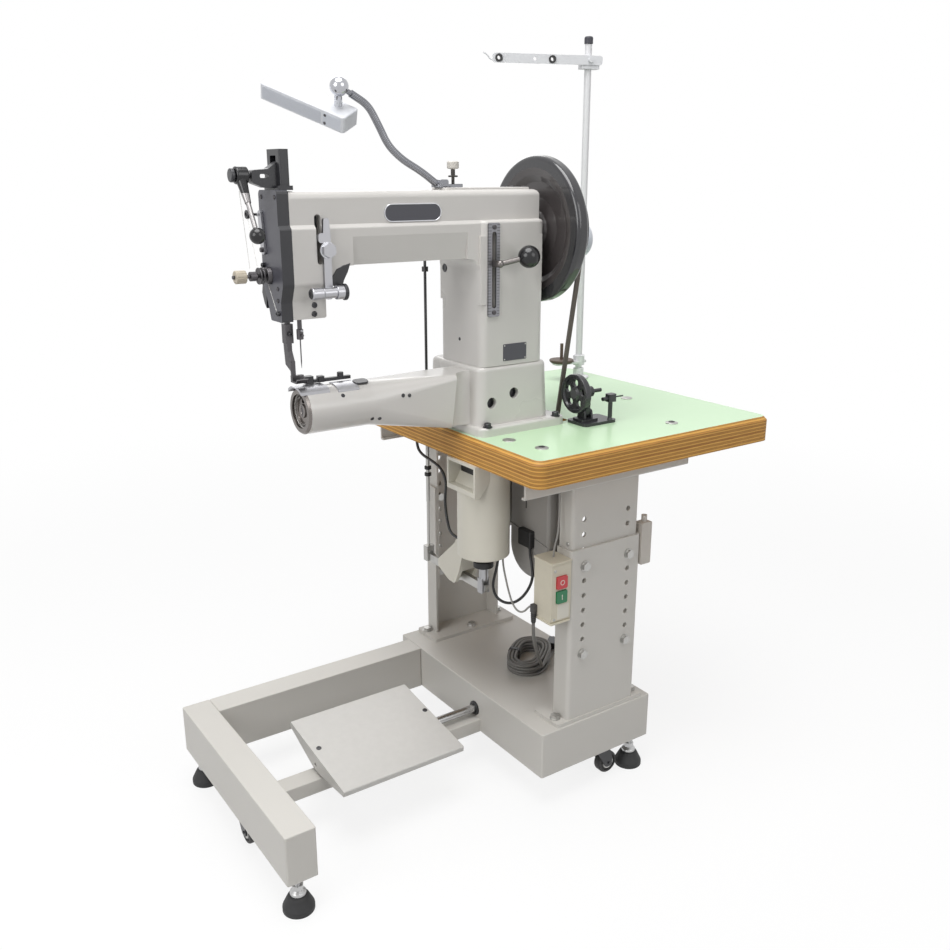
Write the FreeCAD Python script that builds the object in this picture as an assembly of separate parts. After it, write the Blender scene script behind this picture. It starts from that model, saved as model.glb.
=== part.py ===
import FreeCAD, Part
import math
import os

# Heavy cylinder-arm sewing machine on a C-shaped stand.
# Millimetres. The floor is z = 0, x runs from needle to handwheel, y from operator to back.

V = FreeCAD.Vector
X = V(1, 0, 0)
Y = V(0, 1, 0)
Z = V(0, 0, 1)
PLANES = {"xy": (X, Y, Z), "xz": (X, Z, Y), "yz": (Y, Z, X), "zx": (Z, X, Y)}

# Clearances
run_gap = 0.1          # round fits that turn or slide
free_gap = 0.5         # moving faces that pass each other
bolt_gap = 0.5         # bolt shank in its hole

# Base frame
base_left = 2.0
base_width = 300.0
base_depth = 560.0
base_tall = 100.0
base_rise = 78.0
base_wall = 5.0
rail_wide = 60.0
rail_reach = 566.0     # main box to the outer side of the end rail
rear_rail_in = 30.0    # rear rail from the back of the main box
edge_round = 4.0
bar_wide = 44.0        # low bar that carries the treadle
bar_tall = 30.0

base_top = base_rise + base_tall
base_right = base_left + base_width
base_front = -base_depth / 2
base_back = base_depth / 2
rear_rail_back = base_back - rear_rail_in
end_left = base_left - rail_reach
end_right = end_left + rail_wide
end_middle = end_left + rail_wide / 2

# Levelling feet and castors
foot_inset = 28.0
pad_r = 29.5
pad_tall = 34.0
seat_r = 15.0          # plated seat of the stud on the pad
seat_tall = 10.0
stud_r = 6.0
castor_x = 190.0
castor_inset = 32.0    # stems from the ends of the main box
castor_y = base_depth / 2 - castor_inset
castor_end_y = -10.0
castor_r = 25.0
castor_wide = 20.0
castor_lift = 3.0      # wheels stay off the floor while the feet carry
castor_trail = 18.0    # axle behind the stem
castor_end_aim = -90.0 # the end castor trails towards the operator, the others towards +x
axle_r = 3.0
fork_plate = 3.0
stem_r = 6.0

# Treadle
treadle_y = -38.0
treadle_z = 127.0
treadle_left = -391.0
treadle_wide = 279.0
treadle_deep = 244.0
treadle_rise = 25.0    # plate top above the shaft
treadle_lip = 12.0
treadle_sheet = 3.0
treadle_tilt = 8.2     # resting slope, toe end down
treadle_shaft_r = 9.0
shaft_hole_r = 12.5
lug_thick = 8.0
lug_r = 12.0

# Columns
column_x = 164.5
column_wide = 187.0
column_deep = 45.0
column_inset = 7.0     # outer face of each web from the end of the main box
column_face = base_depth / 2 - column_inset
column_sheet = 5.0
column_top = 562.0
sole_thick = 8.0
sole_over = 26.0
sole_deep = 78.0
slide_gap = 0.5
slide_low = 300.0
hole_span = 117.0
hole_pitch = 32.35
hole_low = 331.5
hole_r = 5.5
lower_holes = 7
upper_holes = 10
beam_tall = 40.0
beam_lip = 12.0
beam_left = -46.0
beam_right = 384.0
column_bolt_r = 5.0
table_bolt_r = 4.0
table_bolt_in = 15.0   # table bolts behind the web of the beam

# Table
table_left = -68.0
table_right = 564.0
table_deep = 670.0
table_top = 782.0
table_thick = 52.0
table_bevel = 8.0
table_corner = 24.0
beam_bolts_x = (2.0, 343.0)
loose_bolts = ((-15.0, -178.0), (428.0, -33.0))
table_low = table_top - table_thick
beam_low = table_low - beam_tall

# Machine head
head_y = -62.0         # plane of needle, arm and cylinder arm
flange_left = -53.0
flange_right = 161.0
flange_front = -138.0
flange_back = 84.0
flange_thick = 18.0
block_left = -47.0
block_right = 131.0
block_front = -121.0
block_back = 66.0
block_top = 915.0
block_draft = 4.0
post_left = -36.0
post_right = 116.0
post_front = -114.0
post_back = 32.0
ledge_z = 1190.0
arm_top = 1245.0
arm_low = 1122.0
bead_half = 46.0
band_half = 40.0
arm_low_half = 36.0
head_left = -412.0
head_arch = -304.0     # where the throat arch meets the arm
nose_right = -350.0
nose_low = 1035.0
nose_half = 34.0
nose_step = 1066.0
shaft_z = 1167.0
shaft_r = 12.0
shaft_end = 14.0       # main shaft past the pulley, in the sensor's bore

# Cylinder arm
tube_z = 868.0
tube_r = 42.0
tube_end = -390.0
tube_root = -262.0     # the round part ends and the box part starts
root_x = -87.0         # end of the taper, at the scoop before the pedestal
root_half_y = 46.0
root_half_z = 53.0
root_z = 853.0
root_corner = 10.0
scoop_r = 30.0
scoop_lean = 9.0
race_r = 30.0
race_deep = 44.0
ring_thick = 5.0

# Needle end
needle_x = -386.0
needle_bar_r = 4.0
needle_r = 1.1
needle_tip = 945.0
needle_stroke = 45.0
clamp_z = 1004.0
presser_x = -399.0
presser_y = -40.0
presser_bar_r = 5.0
holder_top = 1022.0
holder_knee = 975.0
holder_toe = 940.0
foot_gap = 8.0         # raised foot over the throat plate
foot_lift = 6.0
plate_z = 912.0        # working surface of the throat plate
cover_thick = 21.0
cover_back = -28.0

# Handwheel, belt and motor
wheel_x = 123.0
wheel_r = 141.0
rim_thick = 28.0
belt_x = 173.0
belt_wide = 10.0
belt_tall = 6.5
pulley_r = 97.0        # belt pitch line on the handwheel
motor_pulley_r = 40.0
motor_z = 605.0
motor_r = 64.0
motor_left = 52.0
motor_long = 100.0
motor_shaft_r = 8.0
case_left = 60.0       # control case in front of the motor
case_long = 88.0
case_z = 534.0
case_r = 64.0
case_gap = 16.0        # back of the upright to the control case
case_y = -column_face + column_deep + case_gap + case_r
motor_y = case_y + case_r + motor_r
slot_reach = 98.0      # front end of the belt slot from the motor's axis

# Foot-lift solenoid under the table
coil_x = -18.0
coil_y = -98.0
coil_r = 54.0
coil_low = 517.0
coil_frame = 56.0      # bracket reach from the coil axis to its windowed side
coil_frame_half = 50.0
sill_drop = 66.0       # lower edge of the bracket's window side, below the table
coil_sill = table_low - sill_drop
hanger_half = 25.0
hanger_wall = 9.0
lever_z = 448.0
lever_half = 5.0
fulcrum_y = -16.0
lift_rod_y = 115.0
lift_rod_r = 3.0
lift_rod_top = 1140.0
plunger_r = 10.0
pin_r = 5.0
lever_swing = 5.0      # degrees


# Shape helpers

def outline(corners, plane):
    """Closed wire through (u, v[, radius]) corners; a radius rounds its corner with a tangent arc."""
    across, up, _ = PLANES[plane]
    spots = [(c[0], c[1], c[2] if len(c) > 2 else 0.0) for c in corners]
    turns = []
    for i, (a, b, r) in enumerate(spots):
        here = V(a, b, 0)
        back = V(spots[i - 1][0], spots[i - 1][1], 0) - here
        ahead = V(spots[(i + 1) % len(spots)][0], spots[(i + 1) % len(spots)][1], 0) - here
        if r <= 0:
            turns.append((here, None, here))
            continue
        back.normalize()
        ahead.normalize()
        half = back.getAngle(ahead) / 2
        inward = back + ahead
        inward.normalize()
        reach = r / math.tan(half)
        middle = here + inward * (r / math.sin(half) - r)
        turns.append((here + back * reach, middle, here + ahead * reach))

    def place(p):
        return across * p.x + up * p.y

    edges = []
    for i, (start, middle, end) in enumerate(turns):
        if middle is not None:
            edges.append(Part.Arc(place(start), place(middle), place(end)).toShape())
        following = turns[(i + 1) % len(turns)][0]
        if (following - end).Length > 1e-6:
            edges.append(Part.LineSegment(place(end), place(following)).toShape())
    return Part.Wire(edges)


def prism(corners, plane, low, high):
    """Rounded outline extruded square to its plane, from low to high."""
    normal = PLANES[plane][2]
    solid = Part.Face(outline(corners, plane)).extrude(normal * (high - low))
    solid.translate(normal * low)
    return solid


def rect(u0, u1, v0, v1, r=0.0):
    return [(u0, v0, r), (u1, v0, r), (u1, v1, r), (u0, v1, r)]


def block(x0, x1, y0, y1, z0, z1, r=0.0):
    return prism(rect(x0, x1, y0, y1, r), "xy", z0, z1)


def turned(profile, axis, centre):
    """Profile of (along, radius[, round]) corners revolved about an axis through centre."""
    plane, direction = {"x": ("xy", X), "y": ("yz", Y), "z": ("zx", Z)}[axis]
    solid = Part.Face(outline(profile, plane)).revolve(V(0, 0, 0), direction, 360)
    solid.translate(V(*centre))
    return solid


def rod(start, end, r):
    start = V(*start)
    run = V(*end) - start
    return Part.makeCylinder(r, run.Length, start, run)


def hexagon(start, direction, across, tall):
    """Hexagonal head or nut, across its flats, standing on start."""
    side = V(0, 0, 1) if abs(direction.z) < 0.5 else V(1, 0, 0)
    other = direction.cross(side)
    r = across / math.sqrt(3)
    points = []
    for i in range(7):
        turn = math.radians(60 * i)
        points.append(V(*start) + side * (r * math.cos(turn)) + other * (r * math.sin(turn)))
    return Part.Face(Part.makePolygon(points)).extrude(direction * tall)


def bolt(seat, outward, shank_r, grip, nut=True):
    """Washer and hexagon head on seat, shank through the grip and a nut on the far side."""
    head = hexagon(V(*seat) + outward * 2, outward, shank_r * 3.4, shank_r * 1.3)
    washer = Part.makeCylinder(shank_r * 2.2, 2, V(*seat), outward)
    shank = Part.makeCylinder(shank_r, grip + 1, V(*seat) - outward * (grip + 1), outward)
    pieces = [washer, shank]
    if nut:
        pieces.append(hexagon(V(*seat) - outward * grip, outward * -1, shank_r * 3.4, shank_r * 1.6))
    return join(head, *pieces)


def join(first, *others):
    return first.fuse(list(others)).removeSplitter() if others else first


def less(solid, *tools):
    return solid.cut(list(tools)) if tools else solid


def soften(solid, r, pick):
    """Fillet the edges that pick accepts."""
    edges = [e for e in solid.Edges if pick(e)]
    return solid.makeFillet(r, edges) if edges else solid


def at_height(z, tol=0.01):
    return lambda e: all(abs(v.Point.z - z) < tol for v in e.Vertexes) and len(e.Vertexes) > 1


def mirrored(solid, normal):
    return solid.mirror(V(0, 0, 0), normal)


# Stand

def feet_places():
    return [
        (end_middle, base_front + foot_inset),
        (end_middle, rear_rail_back - foot_inset),
        (base_right - foot_inset, base_front + foot_inset),
        (base_right - foot_inset, base_back - foot_inset),
    ]


def castor_places():
    return {
        "end": (end_middle, castor_end_y),
        "front": (castor_x, -castor_y),
        "rear": (castor_x, castor_y),
    }


def hollow_bar(x0, x1, y0, y1, tall):
    """Closed welded tube with softened upper edges, drilled below for feet and castor stems."""
    bar = block(x0, x1, y0, y1, base_rise, base_rise + tall, edge_round)
    bar = soften(bar, edge_round / 2, at_height(base_rise + tall))
    w = base_wall
    bar = less(bar, block(x0 + w, x1 - w, y0 + w, y1 - w, base_rise + w, base_rise + tall - w))
    for x, y in feet_places():
        bar = less(bar, rod((x, y, base_rise - 1), (x, y, base_rise + w + 1), stud_r + bolt_gap))
    for x, y in castor_places().values():
        bar = less(bar, rod((x, y, base_rise - 1), (x, y, base_rise + w + 1), stem_r + run_gap))
    return bar


def base_box():
    box = hollow_bar(base_left, base_right, base_front, base_back, base_tall)
    hole = rod((base_left - 1, treadle_y, treadle_z), (base_left + base_wall + 1, treadle_y, treadle_z),
               shaft_hole_r)
    return less(box, hole)


def rear_rail():
    return hollow_bar(end_right, base_left, rear_rail_back - rail_wide, rear_rail_back, base_tall)


def end_rail():
    return hollow_bar(end_left, end_right, base_front, rear_rail_back, base_tall)


def treadle_rail():
    """Low bar across the stand with two bearing lugs for the treadle shaft."""
    half = bar_wide / 2
    bar = block(end_right, base_left, treadle_y - half, treadle_y + half, base_rise, base_rise + bar_tall)
    bar = soften(bar, 2, at_height(base_rise + bar_tall))
    lug_at = (treadle_left + treadle_sheet + 12,
              treadle_left + treadle_wide - treadle_sheet - 12 - lug_thick)
    for x in lug_at:
        lug = prism([(treadle_y - lug_r, base_rise + bar_tall - 1),
                     (treadle_y + lug_r, base_rise + bar_tall - 1),
                     (treadle_y + lug_r, treadle_z + lug_r, lug_r * 0.98),
                     (treadle_y - lug_r, treadle_z + lug_r, lug_r * 0.98)], "yz", x, x + lug_thick)
        bar = join(bar, lug)
    bore = rod((treadle_left, treadle_y, treadle_z), (base_left, treadle_y, treadle_z),
               treadle_shaft_r + run_gap)
    return less(bar, bore)


def levelling_feet():
    """Four screwed feet: a domed pad, its plated seat, two nuts and the stud into the frame."""
    feet = []
    for x, y in feet_places():
        pad = turned([(0, 0), (0, pad_r, 2), (pad_tall * 0.3, pad_r, 7), (pad_tall, pad_r * 0.6, 9),
                      (pad_tall, 0)], "z", (x, y, 0))
        seat = turned([(-1, 0), (-1, seat_r, 1), (seat_tall * 0.5, seat_r, 2), (seat_tall, seat_r * 0.6, 1),
                       (seat_tall, 0)], "z", (x, y, pad_tall))
        stud = rod((x, y, pad_tall - 1), (x, y, base_rise + base_wall + 14), stud_r)
        nuts = [hexagon(V(x, y, z), Z, stud_r * 3.2, stud_r * 1.6)
                for z in (pad_tall + seat_tall, base_rise - stud_r * 1.6)]
        feet.append(join(pad, seat, stud, *nuts))
    return Part.makeCompound(feet)


def castor_fork(place, aim=0.0):
    """Swivel stem, crown and two cheeks that hold the axle behind the stem, turned to its aim."""
    x, y = place
    crown_top = base_rise - free_gap
    axle_z = castor_r + castor_lift
    axle_x = x + castor_trail
    crown = turned([(0, 0), (0, 21, 1), (4, 21, 2), (4, 0)], "z", (x, y, crown_top - 4))
    stem = rod((x, y, crown_top - 2), (x, y, base_rise + base_wall + free_gap + 3), stem_r)
    head = rod((x, y, base_rise + base_wall + free_gap), (x, y, base_rise + base_wall + free_gap + 3),
               stem_r + 3)
    inner = castor_wide / 2 + free_gap
    fork = join(crown, stem, head)
    cheek = [(x + 16, crown_top - 3), (x - 16, crown_top - 3), (x - 14, crown_top - 16, 4),
             (axle_x - 9, axle_z - 8, 7), (axle_x + 9, axle_z - 8, 7), (axle_x + 9, axle_z + 12, 4)]
    for side in (-1, 1):
        near = y + side * inner
        far = near + side * fork_plate
        fork = join(fork, prism(cheek, "xz", min(near, far), max(near, far)))
    reach = inner + fork_plate + 2
    fork = join(fork, rod((axle_x, y - reach, axle_z), (axle_x, y + reach, axle_z), axle_r))
    fork.rotate(V(x, y, 0), Z, aim)
    return fork


def castor_wheel(place, aim=0.0):
    x, y = place
    half = castor_wide / 2
    bore = axle_r + run_gap
    wheel = turned([(-half, bore), (-half, 9), (-half + 3, 11), (-half + 3, 18), (-half, 19.5),
                    (-half, castor_r, 4), (half, castor_r, 4), (half, 19.5), (half - 3, 18),
                    (half - 3, 11), (half, 9), (half, bore)], "y",
                   (x + castor_trail, y, castor_r + castor_lift))
    wheel.rotate(V(x, y, 0), Z, aim)
    return wheel


def channel(wide, face, deep, low, high, corner):
    """C-section upright with its web outward at -face and its flanges running back."""
    t = column_sheet
    x0, x1 = column_x - wide / 2, column_x + wide / 2
    front, back = -face, -face + deep
    return prism([(x0, front, corner), (x1, front, corner), (x1, back), (x1 - t, back),
                  (x1 - t, front + t, corner - t), (x0 + t, front + t, corner - t), (x0 + t, back),
                  (x0, back)],
                 "xy", low, high)


def hole_columns(count):
    places = []
    for i in range(count):
        for side in (-0.5, 0.5):
            places.append((column_x + side * hole_span, hole_low + i * hole_pitch))
    return places


def drill_web(solid, count):
    tools = []
    for x, z in hole_columns(count):
        tools.append(rod((x, -column_face - 1, z), (x, -column_face + 3 * column_sheet, z), hole_r))
    return less(solid, *tools)


def sole_bolts():
    half = column_wide / 2 + sole_over / 2
    y = -column_face + column_deep / 2
    return [(column_x - half, y), (column_x + half, y), (column_x, -column_face + sole_deep - 16)]


def front_column():
    """Lower channel welded to its sole plate, with two columns of height holes."""
    upright = channel(column_wide, column_face, column_deep, base_top + sole_thick - 1, column_top, 9)
    half = column_wide / 2 + sole_over
    sole = block(column_x - half, column_x + half, -column_face - 3, -column_face + sole_deep,
                 base_top, base_top + sole_thick, 6)
    for x, y in sole_bolts():
        sole = less(sole, rod((x, y, base_top - 1), (x, y, base_top + sole_thick + 1),
                              column_bolt_r + bolt_gap))
    return drill_web(join(upright, sole), lower_holes)


def front_upright():
    """Upper channel that telescopes in the lower one and carries a table beam."""
    inset = column_sheet + slide_gap
    face = column_face - inset
    t = column_sheet
    upright = channel(column_wide - 2 * inset, face, column_deep - inset, slide_low, table_low - t + 1, 8)
    upright = drill_web(upright, upper_holes)
    front, back = -column_face, -column_face + column_deep
    beam = prism([(front, beam_low, 4), (front + beam_lip, beam_low), (front + beam_lip, beam_low + t),
                  (front + t, beam_low + t), (front + t, table_low - t), (back, table_low - t),
                  (back, table_low), (front, table_low, 4)], "yz", beam_left, beam_right)
    for x in beam_bolts_x:
        y = -column_face + table_bolt_in
        beam = less(beam, rod((x, y, table_low - t - 1), (x, y, table_low + 1), table_bolt_r + bolt_gap))
    return join(upright, beam)


def table_bolt(x, y, under):
    """Flush washer-headed bolt through the board with its nut below."""
    cap = turned([(0, 0), (0, 13), (1.5, 13, 1), (3, 7, 1), (3, 0)], "z", (x, y, table_top))
    shank = rod((x, y, under - 9), (x, y, table_top + 1), table_bolt_r)
    return join(cap, shank, hexagon(V(x, y, under), Z * -1, 3.25 * table_bolt_r, 7))


def stand_bolts():
    """Column, sole and table fasteners, each its own solid."""
    pieces = [table_bolt(x, y, table_low) for x, y in loose_bolts]
    y = -column_face + table_bolt_in
    for flip in (False, True):
        group = []
        ends = [hole_columns(lower_holes)[k] for k in (0, 1, -2, -1)]
        for x, z in ends:
            group.append(bolt((x, -column_face, z), Y * -1, column_bolt_r, 2 * column_sheet + slide_gap))
        for x, sole_y in sole_bolts():
            group.append(bolt((x, sole_y, base_top + sole_thick), Z, column_bolt_r, sole_thick - 1,
                              nut=False))
        for x in beam_bolts_x:
            group.append(table_bolt(x, y, table_low - column_sheet))
        pieces += [mirrored(b, Y) for b in group] if flip else group
    return Part.makeCompound(pieces)


def tabletop():
    """Laminated board: rounded corners, bevelled edge, belt slot and bolt and rod holes."""
    half = table_deep / 2
    board = block(table_left, table_right, -half, half, table_low, table_top, table_corner)
    rim = [e for e in board.Edges if at_height(table_top)(e)]
    board = board.makeChamfer(table_bevel, rim)
    slot_half = belt_wide / 2 + 7
    tools = [block(belt_x - slot_half, belt_x + slot_half, motor_y - slot_reach, head_y + pulley_r + 26,
                   table_low - 1, table_top + 1, 9)]
    tools.append(rod((coil_x, lift_rod_y, table_low - 1), (coil_x, lift_rod_y, table_top + 1),
                     lift_rod_r + 6))
    places = list(loose_bolts)
    for side in (-1, 1):
        places += [(x, side * (column_face - table_bolt_in)) for x in beam_bolts_x]
    for x, y in places:
        tools.append(rod((x, y, table_low - 1), (x, y, table_top + 1), table_bolt_r + bolt_gap))
    return less(board, *tools)


# Treadle

def treadle():
    """Folded plate with V-shaped cheeks, welded to the shaft that it rocks on."""
    half = treadle_deep / 2
    t = treadle_sheet
    left, right = treadle_left, treadle_left + treadle_wide
    low = treadle_shaft_r + 3
    pan = prism([(-half, treadle_rise, 3), (-half, treadle_rise - treadle_lip), (-10, -low, 6),
                 (10, -low, 6),
                 (half, treadle_rise - treadle_lip), (half, treadle_rise, 3)], "yz", left, right)
    hollow = block(left + t, right - t, -half + t, half - t, -low - 1, treadle_rise - t)
    pan = less(pan, hollow)
    shaft = rod((left, 0, 0), (base_left + base_wall + 20, 0, 0), treadle_shaft_r)
    socket = rod((left - 1, 0, 0), (left + t + 6, 0, 0), treadle_shaft_r * 0.55)
    solid = less(join(pan, shaft), socket)
    solid.rotate(V(0, 0, 0), X, treadle_tilt)
    solid.translate(V(0, treadle_y, treadle_z))
    return solid


# Switch

switch_wide = 49.0
switch_deep = 55.0
switch_low = 420.0
switch_tall = 125.0
button_size = 26.0
button_out = 4.0
button_travel = 3.0
gland_out = 5.0        # cord axis from the case's left side
gland_low = 406.0
gland_long = 25.0      # tapered sleeve on the cord
side_low = 492.0       # small case on the column's other side
side_tall = 92.0
side_wide = 28.0
stop_z = 505.0
start_z = 474.0
switch_right = column_x - column_wide / 2
switch_left = switch_right - switch_wide
switch_x = switch_right - switch_wide / 2
switch_back = -column_face + switch_deep


def switch_box():
    """Moulded two-button starter case screwed to the side of the front column."""
    half = switch_deep / 2
    case = prism(rect(-half, half, switch_low, switch_low + switch_tall, 5), "yz", switch_left,
                 switch_right)
    case.translate(V(0, -column_face + half, 0))
    pocket = button_size / 2 + free_gap
    for z in (stop_z, start_z):
        case = less(case, block(switch_x - pocket, switch_x + pocket, -column_face - 1, -column_face + 22,
                                z - pocket, z + pocket))
    x, y = switch_left - gland_out, switch_back - 6
    high = gland_low + gland_long
    elbow = block(x - 6, switch_left + 1, y - 6, y + 6, high - 1, high + 15, 3)
    sleeve = turned([(0, 0), (0, 4.4, 0.8), (gland_long, 5.6), (gland_long, 0)], "z", (x, y, gland_low))
    gland = join(elbow, sleeve)
    right = column_x + column_wide / 2
    top = side_low + side_tall
    side = prism(rect(side_low, top, right, right + side_wide, 3), "zx", -column_face - 2,
                 -column_face + 18)
    knob = rod((right + 14, -column_face + 8, top - 1), (right + 14, -column_face + 8, top + 14), 6)
    return Part.makeCompound([join(case, gland), join(side, knob)])


def button(z):
    half = button_size / 2
    cap = prism(rect(switch_x - half, switch_x + half, z - half, z + half, 3), "xz",
                -column_face - button_out, -column_face + 14)
    return cap


# Foot-lift solenoid and linkage

def solenoid_body():
    """Round coil housing under the table: windowed side bracket and a cranked hanger for the lever."""
    coil = turned([(coil_low, plunger_r + run_gap), (coil_low, 20), (coil_low + 4, 22),
                   (coil_low + 4, coil_r - 8),
                   (coil_low + 8, coil_r, 3), (table_low, coil_r), (table_low, plunger_r + run_gap)],
                  "z", (coil_x, coil_y, 0))
    side = coil_frame_half
    wall = 6.0
    left = coil_x - coil_frame
    back = coil_x - 10
    cheek = sill_drop - 22
    frame = prism([(left, coil_sill, 2), (left + 12, coil_sill), (back, coil_sill + cheek),
                   (back, table_low),
                   (left, table_low)], "xz", coil_y - side, coil_y + side)
    window = prism([(left - 1, coil_sill + 11), (left + 16, coil_sill + 11),
                    (back - wall, coil_sill + cheek + wall),
                    (back - wall, table_low - wall), (left - 1, table_low - wall)],
                   "xz", coil_y - side + wall, coil_y + side - wall)
    body = less(join(coil, frame), window)
    rear = coil_y + coil_r
    hanger = prism([(rear - 16, coil_low + 30), (rear - 16, coil_low + 6), (rear, lever_z + 22),
                    (fulcrum_y - 11, lever_z - 11, 9), (fulcrum_y + 11, lever_z - 11, 9),
                    (fulcrum_y + 54, lever_z + 8, 6), (fulcrum_y + 54, lever_z + 24, 7),
                    (fulcrum_y - 12, coil_low + 13), (rear + 6, coil_low + 34)],
                   "yz", coil_x - hanger_half, coil_x + hanger_half)
    inner = hanger_half - hanger_wall
    slot = block(coil_x - inner, coil_x + inner, rear - 2, fulcrum_y + 70, lever_z - 30, lever_z + 20)
    pin = rod((coil_x - hanger_half, fulcrum_y, lever_z), (coil_x + hanger_half, fulcrum_y, lever_z), pin_r)
    return join(body, less(hanger, slot), pin)


def solenoid_plunger():
    """Round plunger with a black collar and a fork over the lever."""
    stem = rod((coil_x, coil_y, lever_z + 18), (coil_x, coil_y, coil_low + 60), plunger_r)
    collar = rod((coil_x, coil_y, coil_low - 22), (coil_x, coil_y, coil_low - 10), plunger_r + 11)
    gap = lever_half + free_gap
    fork = block(coil_x - gap - 5, coil_x + gap + 5, coil_y - 8, coil_y + 8, lever_z - 11, lever_z + 22, 2)
    slot = block(coil_x - gap, coil_x + gap, coil_y - 20, coil_y + 20, lever_z - 20, lever_z + 15)
    pin = rod((coil_x - gap - 4, coil_y, lever_z), (coil_x + gap + 4, coil_y, lever_z), pin_r - 1)
    return join(less(fork, slot), stem, collar, pin)


def lift_lever():
    """Flat lever with a round fulcrum bore and a slotted eye at each end."""
    front, rear = coil_y - 14, lift_rod_y + 14
    bar = prism([(front, lever_z - 9, 8), (rear, lever_z - 9, 8), (rear, lever_z + 9, 8),
                 (front, lever_z + 9, 8)],
                "yz", coil_x - lever_half, coil_x + lever_half)
    boss = rod((coil_x - lever_half, fulcrum_y, lever_z), (coil_x + lever_half, fulcrum_y, lever_z), 12)
    bar = join(bar, boss)
    wide = coil_x - lever_half - 1, coil_x + lever_half + 1
    tools = [rod((wide[0], fulcrum_y, lever_z), (wide[1], fulcrum_y, lever_z), pin_r + run_gap)]
    for y in (coil_y, lift_rod_y):
        eye = pin_r - 1 + free_gap
        tools.append(prism(rect(y - eye - 1.5, y + eye + 1.5, lever_z - eye, lever_z + eye, eye * 0.98),
                           "yz", *wide))
    return less(bar, *tools)


def lift_rod():
    """Long pull rod with a forked lower end, a thicker sleeve under the table and a top nut."""
    gap = lever_half + free_gap
    stem = rod((coil_x, lift_rod_y, lever_z + 16), (coil_x, lift_rod_y, lift_rod_top), lift_rod_r)
    sleeve = rod((coil_x, lift_rod_y, lever_z + 130), (coil_x, lift_rod_y, table_low - 20),
                 lift_rod_r + 1.5)
    nut = hexagon(V(coil_x, lift_rod_y, lift_rod_top - 60), Z, 13, 10)
    fork = block(coil_x - gap - 5, coil_x + gap + 5, lift_rod_y - 8, lift_rod_y + 8, lever_z - 9,
                 lever_z + 26, 2)
    slot = block(coil_x - gap, coil_x + gap, lift_rod_y - 20, lift_rod_y + 20, lever_z - 20, lever_z + 14)
    pin = rod((coil_x - gap - 4, lift_rod_y, lever_z), (coil_x + gap + 4, lift_rod_y, lever_z), pin_r - 1)
    return join(less(fork, slot), stem, sleeve, nut, pin)


# Motor, belt and handwheel

def motor():
    """Finned round motor hung from the table by a saddle, with its control case bolted on in front."""
    right = motor_left + motor_long
    can = turned([(motor_left, 0), (motor_left, motor_r - 8), (motor_left + 10, motor_r, 6),
                  (right - 10, motor_r, 6), (right, motor_r - 8), (right, 0)], "x", (0, motor_y, motor_z))
    for i in range(6):
        x = motor_left + 20 + i * (motor_long - 40) / 5
        ring = turned([(x - 2.5, motor_r - 5), (x - 2.5, motor_r + 9), (x + 2.5, motor_r + 9),
                       (x + 2.5, motor_r - 5)],
                      "x", (0, motor_y, motor_z))
        can = less(can, ring)
    saddle = block(motor_left + 12, right - 12, motor_y - 30, motor_y + 30, motor_z + motor_r - 12,
                   table_low)
    case = prism([(case_y + case_r, table_low), (case_y + case_r, case_z - case_r, case_r * 0.98),
                  (case_y - case_r, case_z - case_r, case_r * 0.98), (case_y - case_r, table_low)],
                 "yz", case_left, case_left + case_long)
    rim = [e for e in case.Edges
           if abs(e.CenterOfMass.x - case_left) < 0.01 and e.CenterOfMass.z < table_low - 1]
    case = case.makeFillet(7, rim)
    seam = prism([(case_y + case_r + 9, case_z + 44), (case_y + case_r + 9, case_z + 41),
                  (case_y - case_r - 9, case_z + 17), (case_y - case_r - 9, case_z + 20)],
                 "yz", case_left - 1, case_left + 2)
    link = block(case_left + 20, case_left + case_long - 20, case_y + case_r - 8, motor_y - motor_r + 14,
                 motor_z - 30, motor_z + 30)
    shaft = rod((right - 5, motor_y, motor_z), (belt_x + 18, motor_y, motor_z), motor_shaft_r)
    return join(can, saddle, less(case, seam), link, shaft)


def groove_profile(pitch_r, bore, half_wide):
    """Half section of a V-belt pulley about its middle, from bore to rim."""
    rim = pitch_r + belt_tall / 2 + 2
    floor = pitch_r - belt_tall / 2 - 2
    flare = belt_wide / 2 + 1.2
    root = flare - 2.6
    return [(-half_wide, bore), (-half_wide, rim), (-flare, rim), (-root, floor), (root, floor),
            (flare, rim),
            (half_wide, rim), (half_wide, bore)]


def motor_pulley():
    profile = groove_profile(motor_pulley_r, motor_shaft_r + run_gap, belt_wide / 2 + 5)
    return turned(profile, "x", (belt_x, motor_y, motor_z))


def tangent_line(y0, z0, r0, y1, z1, r1, side):
    """Ends of the outer tangent between two circles in the y-z plane, on one side of the centre line."""
    dy, dz = y1 - y0, z1 - z0
    far = math.hypot(dy, dz)
    base = math.atan2(dz, dy)
    lean = math.acos((r0 - r1) / far)
    turn = base + side * lean
    ends = []
    for y, z, r in ((y0, z0, r0), (y1, z1, r1)):
        ends.append((y + r * math.cos(turn), z + r * math.sin(turn)))
    return ends


def belt_section():
    """Trapezoid across the belt as (x, radial) pairs about the pitch line."""
    back, root = belt_wide / 2, belt_wide / 2 - 2.4
    return [(-root, -belt_tall / 2), (root, -belt_tall / 2), (back, belt_tall / 2), (-back, belt_tall / 2)]


def belt_wrap(y, z, r, start, sweep):
    """Part of the belt that lies on a pulley, from one angle through a sweep in degrees."""
    face = Part.Face(outline([(belt_x + a, r + b) for a, b in belt_section()], "xy"))
    face.rotate(V(0, 0, 0), X, start)
    face.translate(V(0, y, z))
    return face.revolve(V(0, y, z), X, sweep)


def strand_y(z):
    """Place of the belt's front strand at a height."""
    (y0, z0), (y1, z1) = tangent_line(head_y, shaft_z, pulley_r, motor_y, motor_z, motor_pulley_r, -1)
    return y0 + (y1 - y0) * (z - z0) / (z1 - z0)


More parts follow.
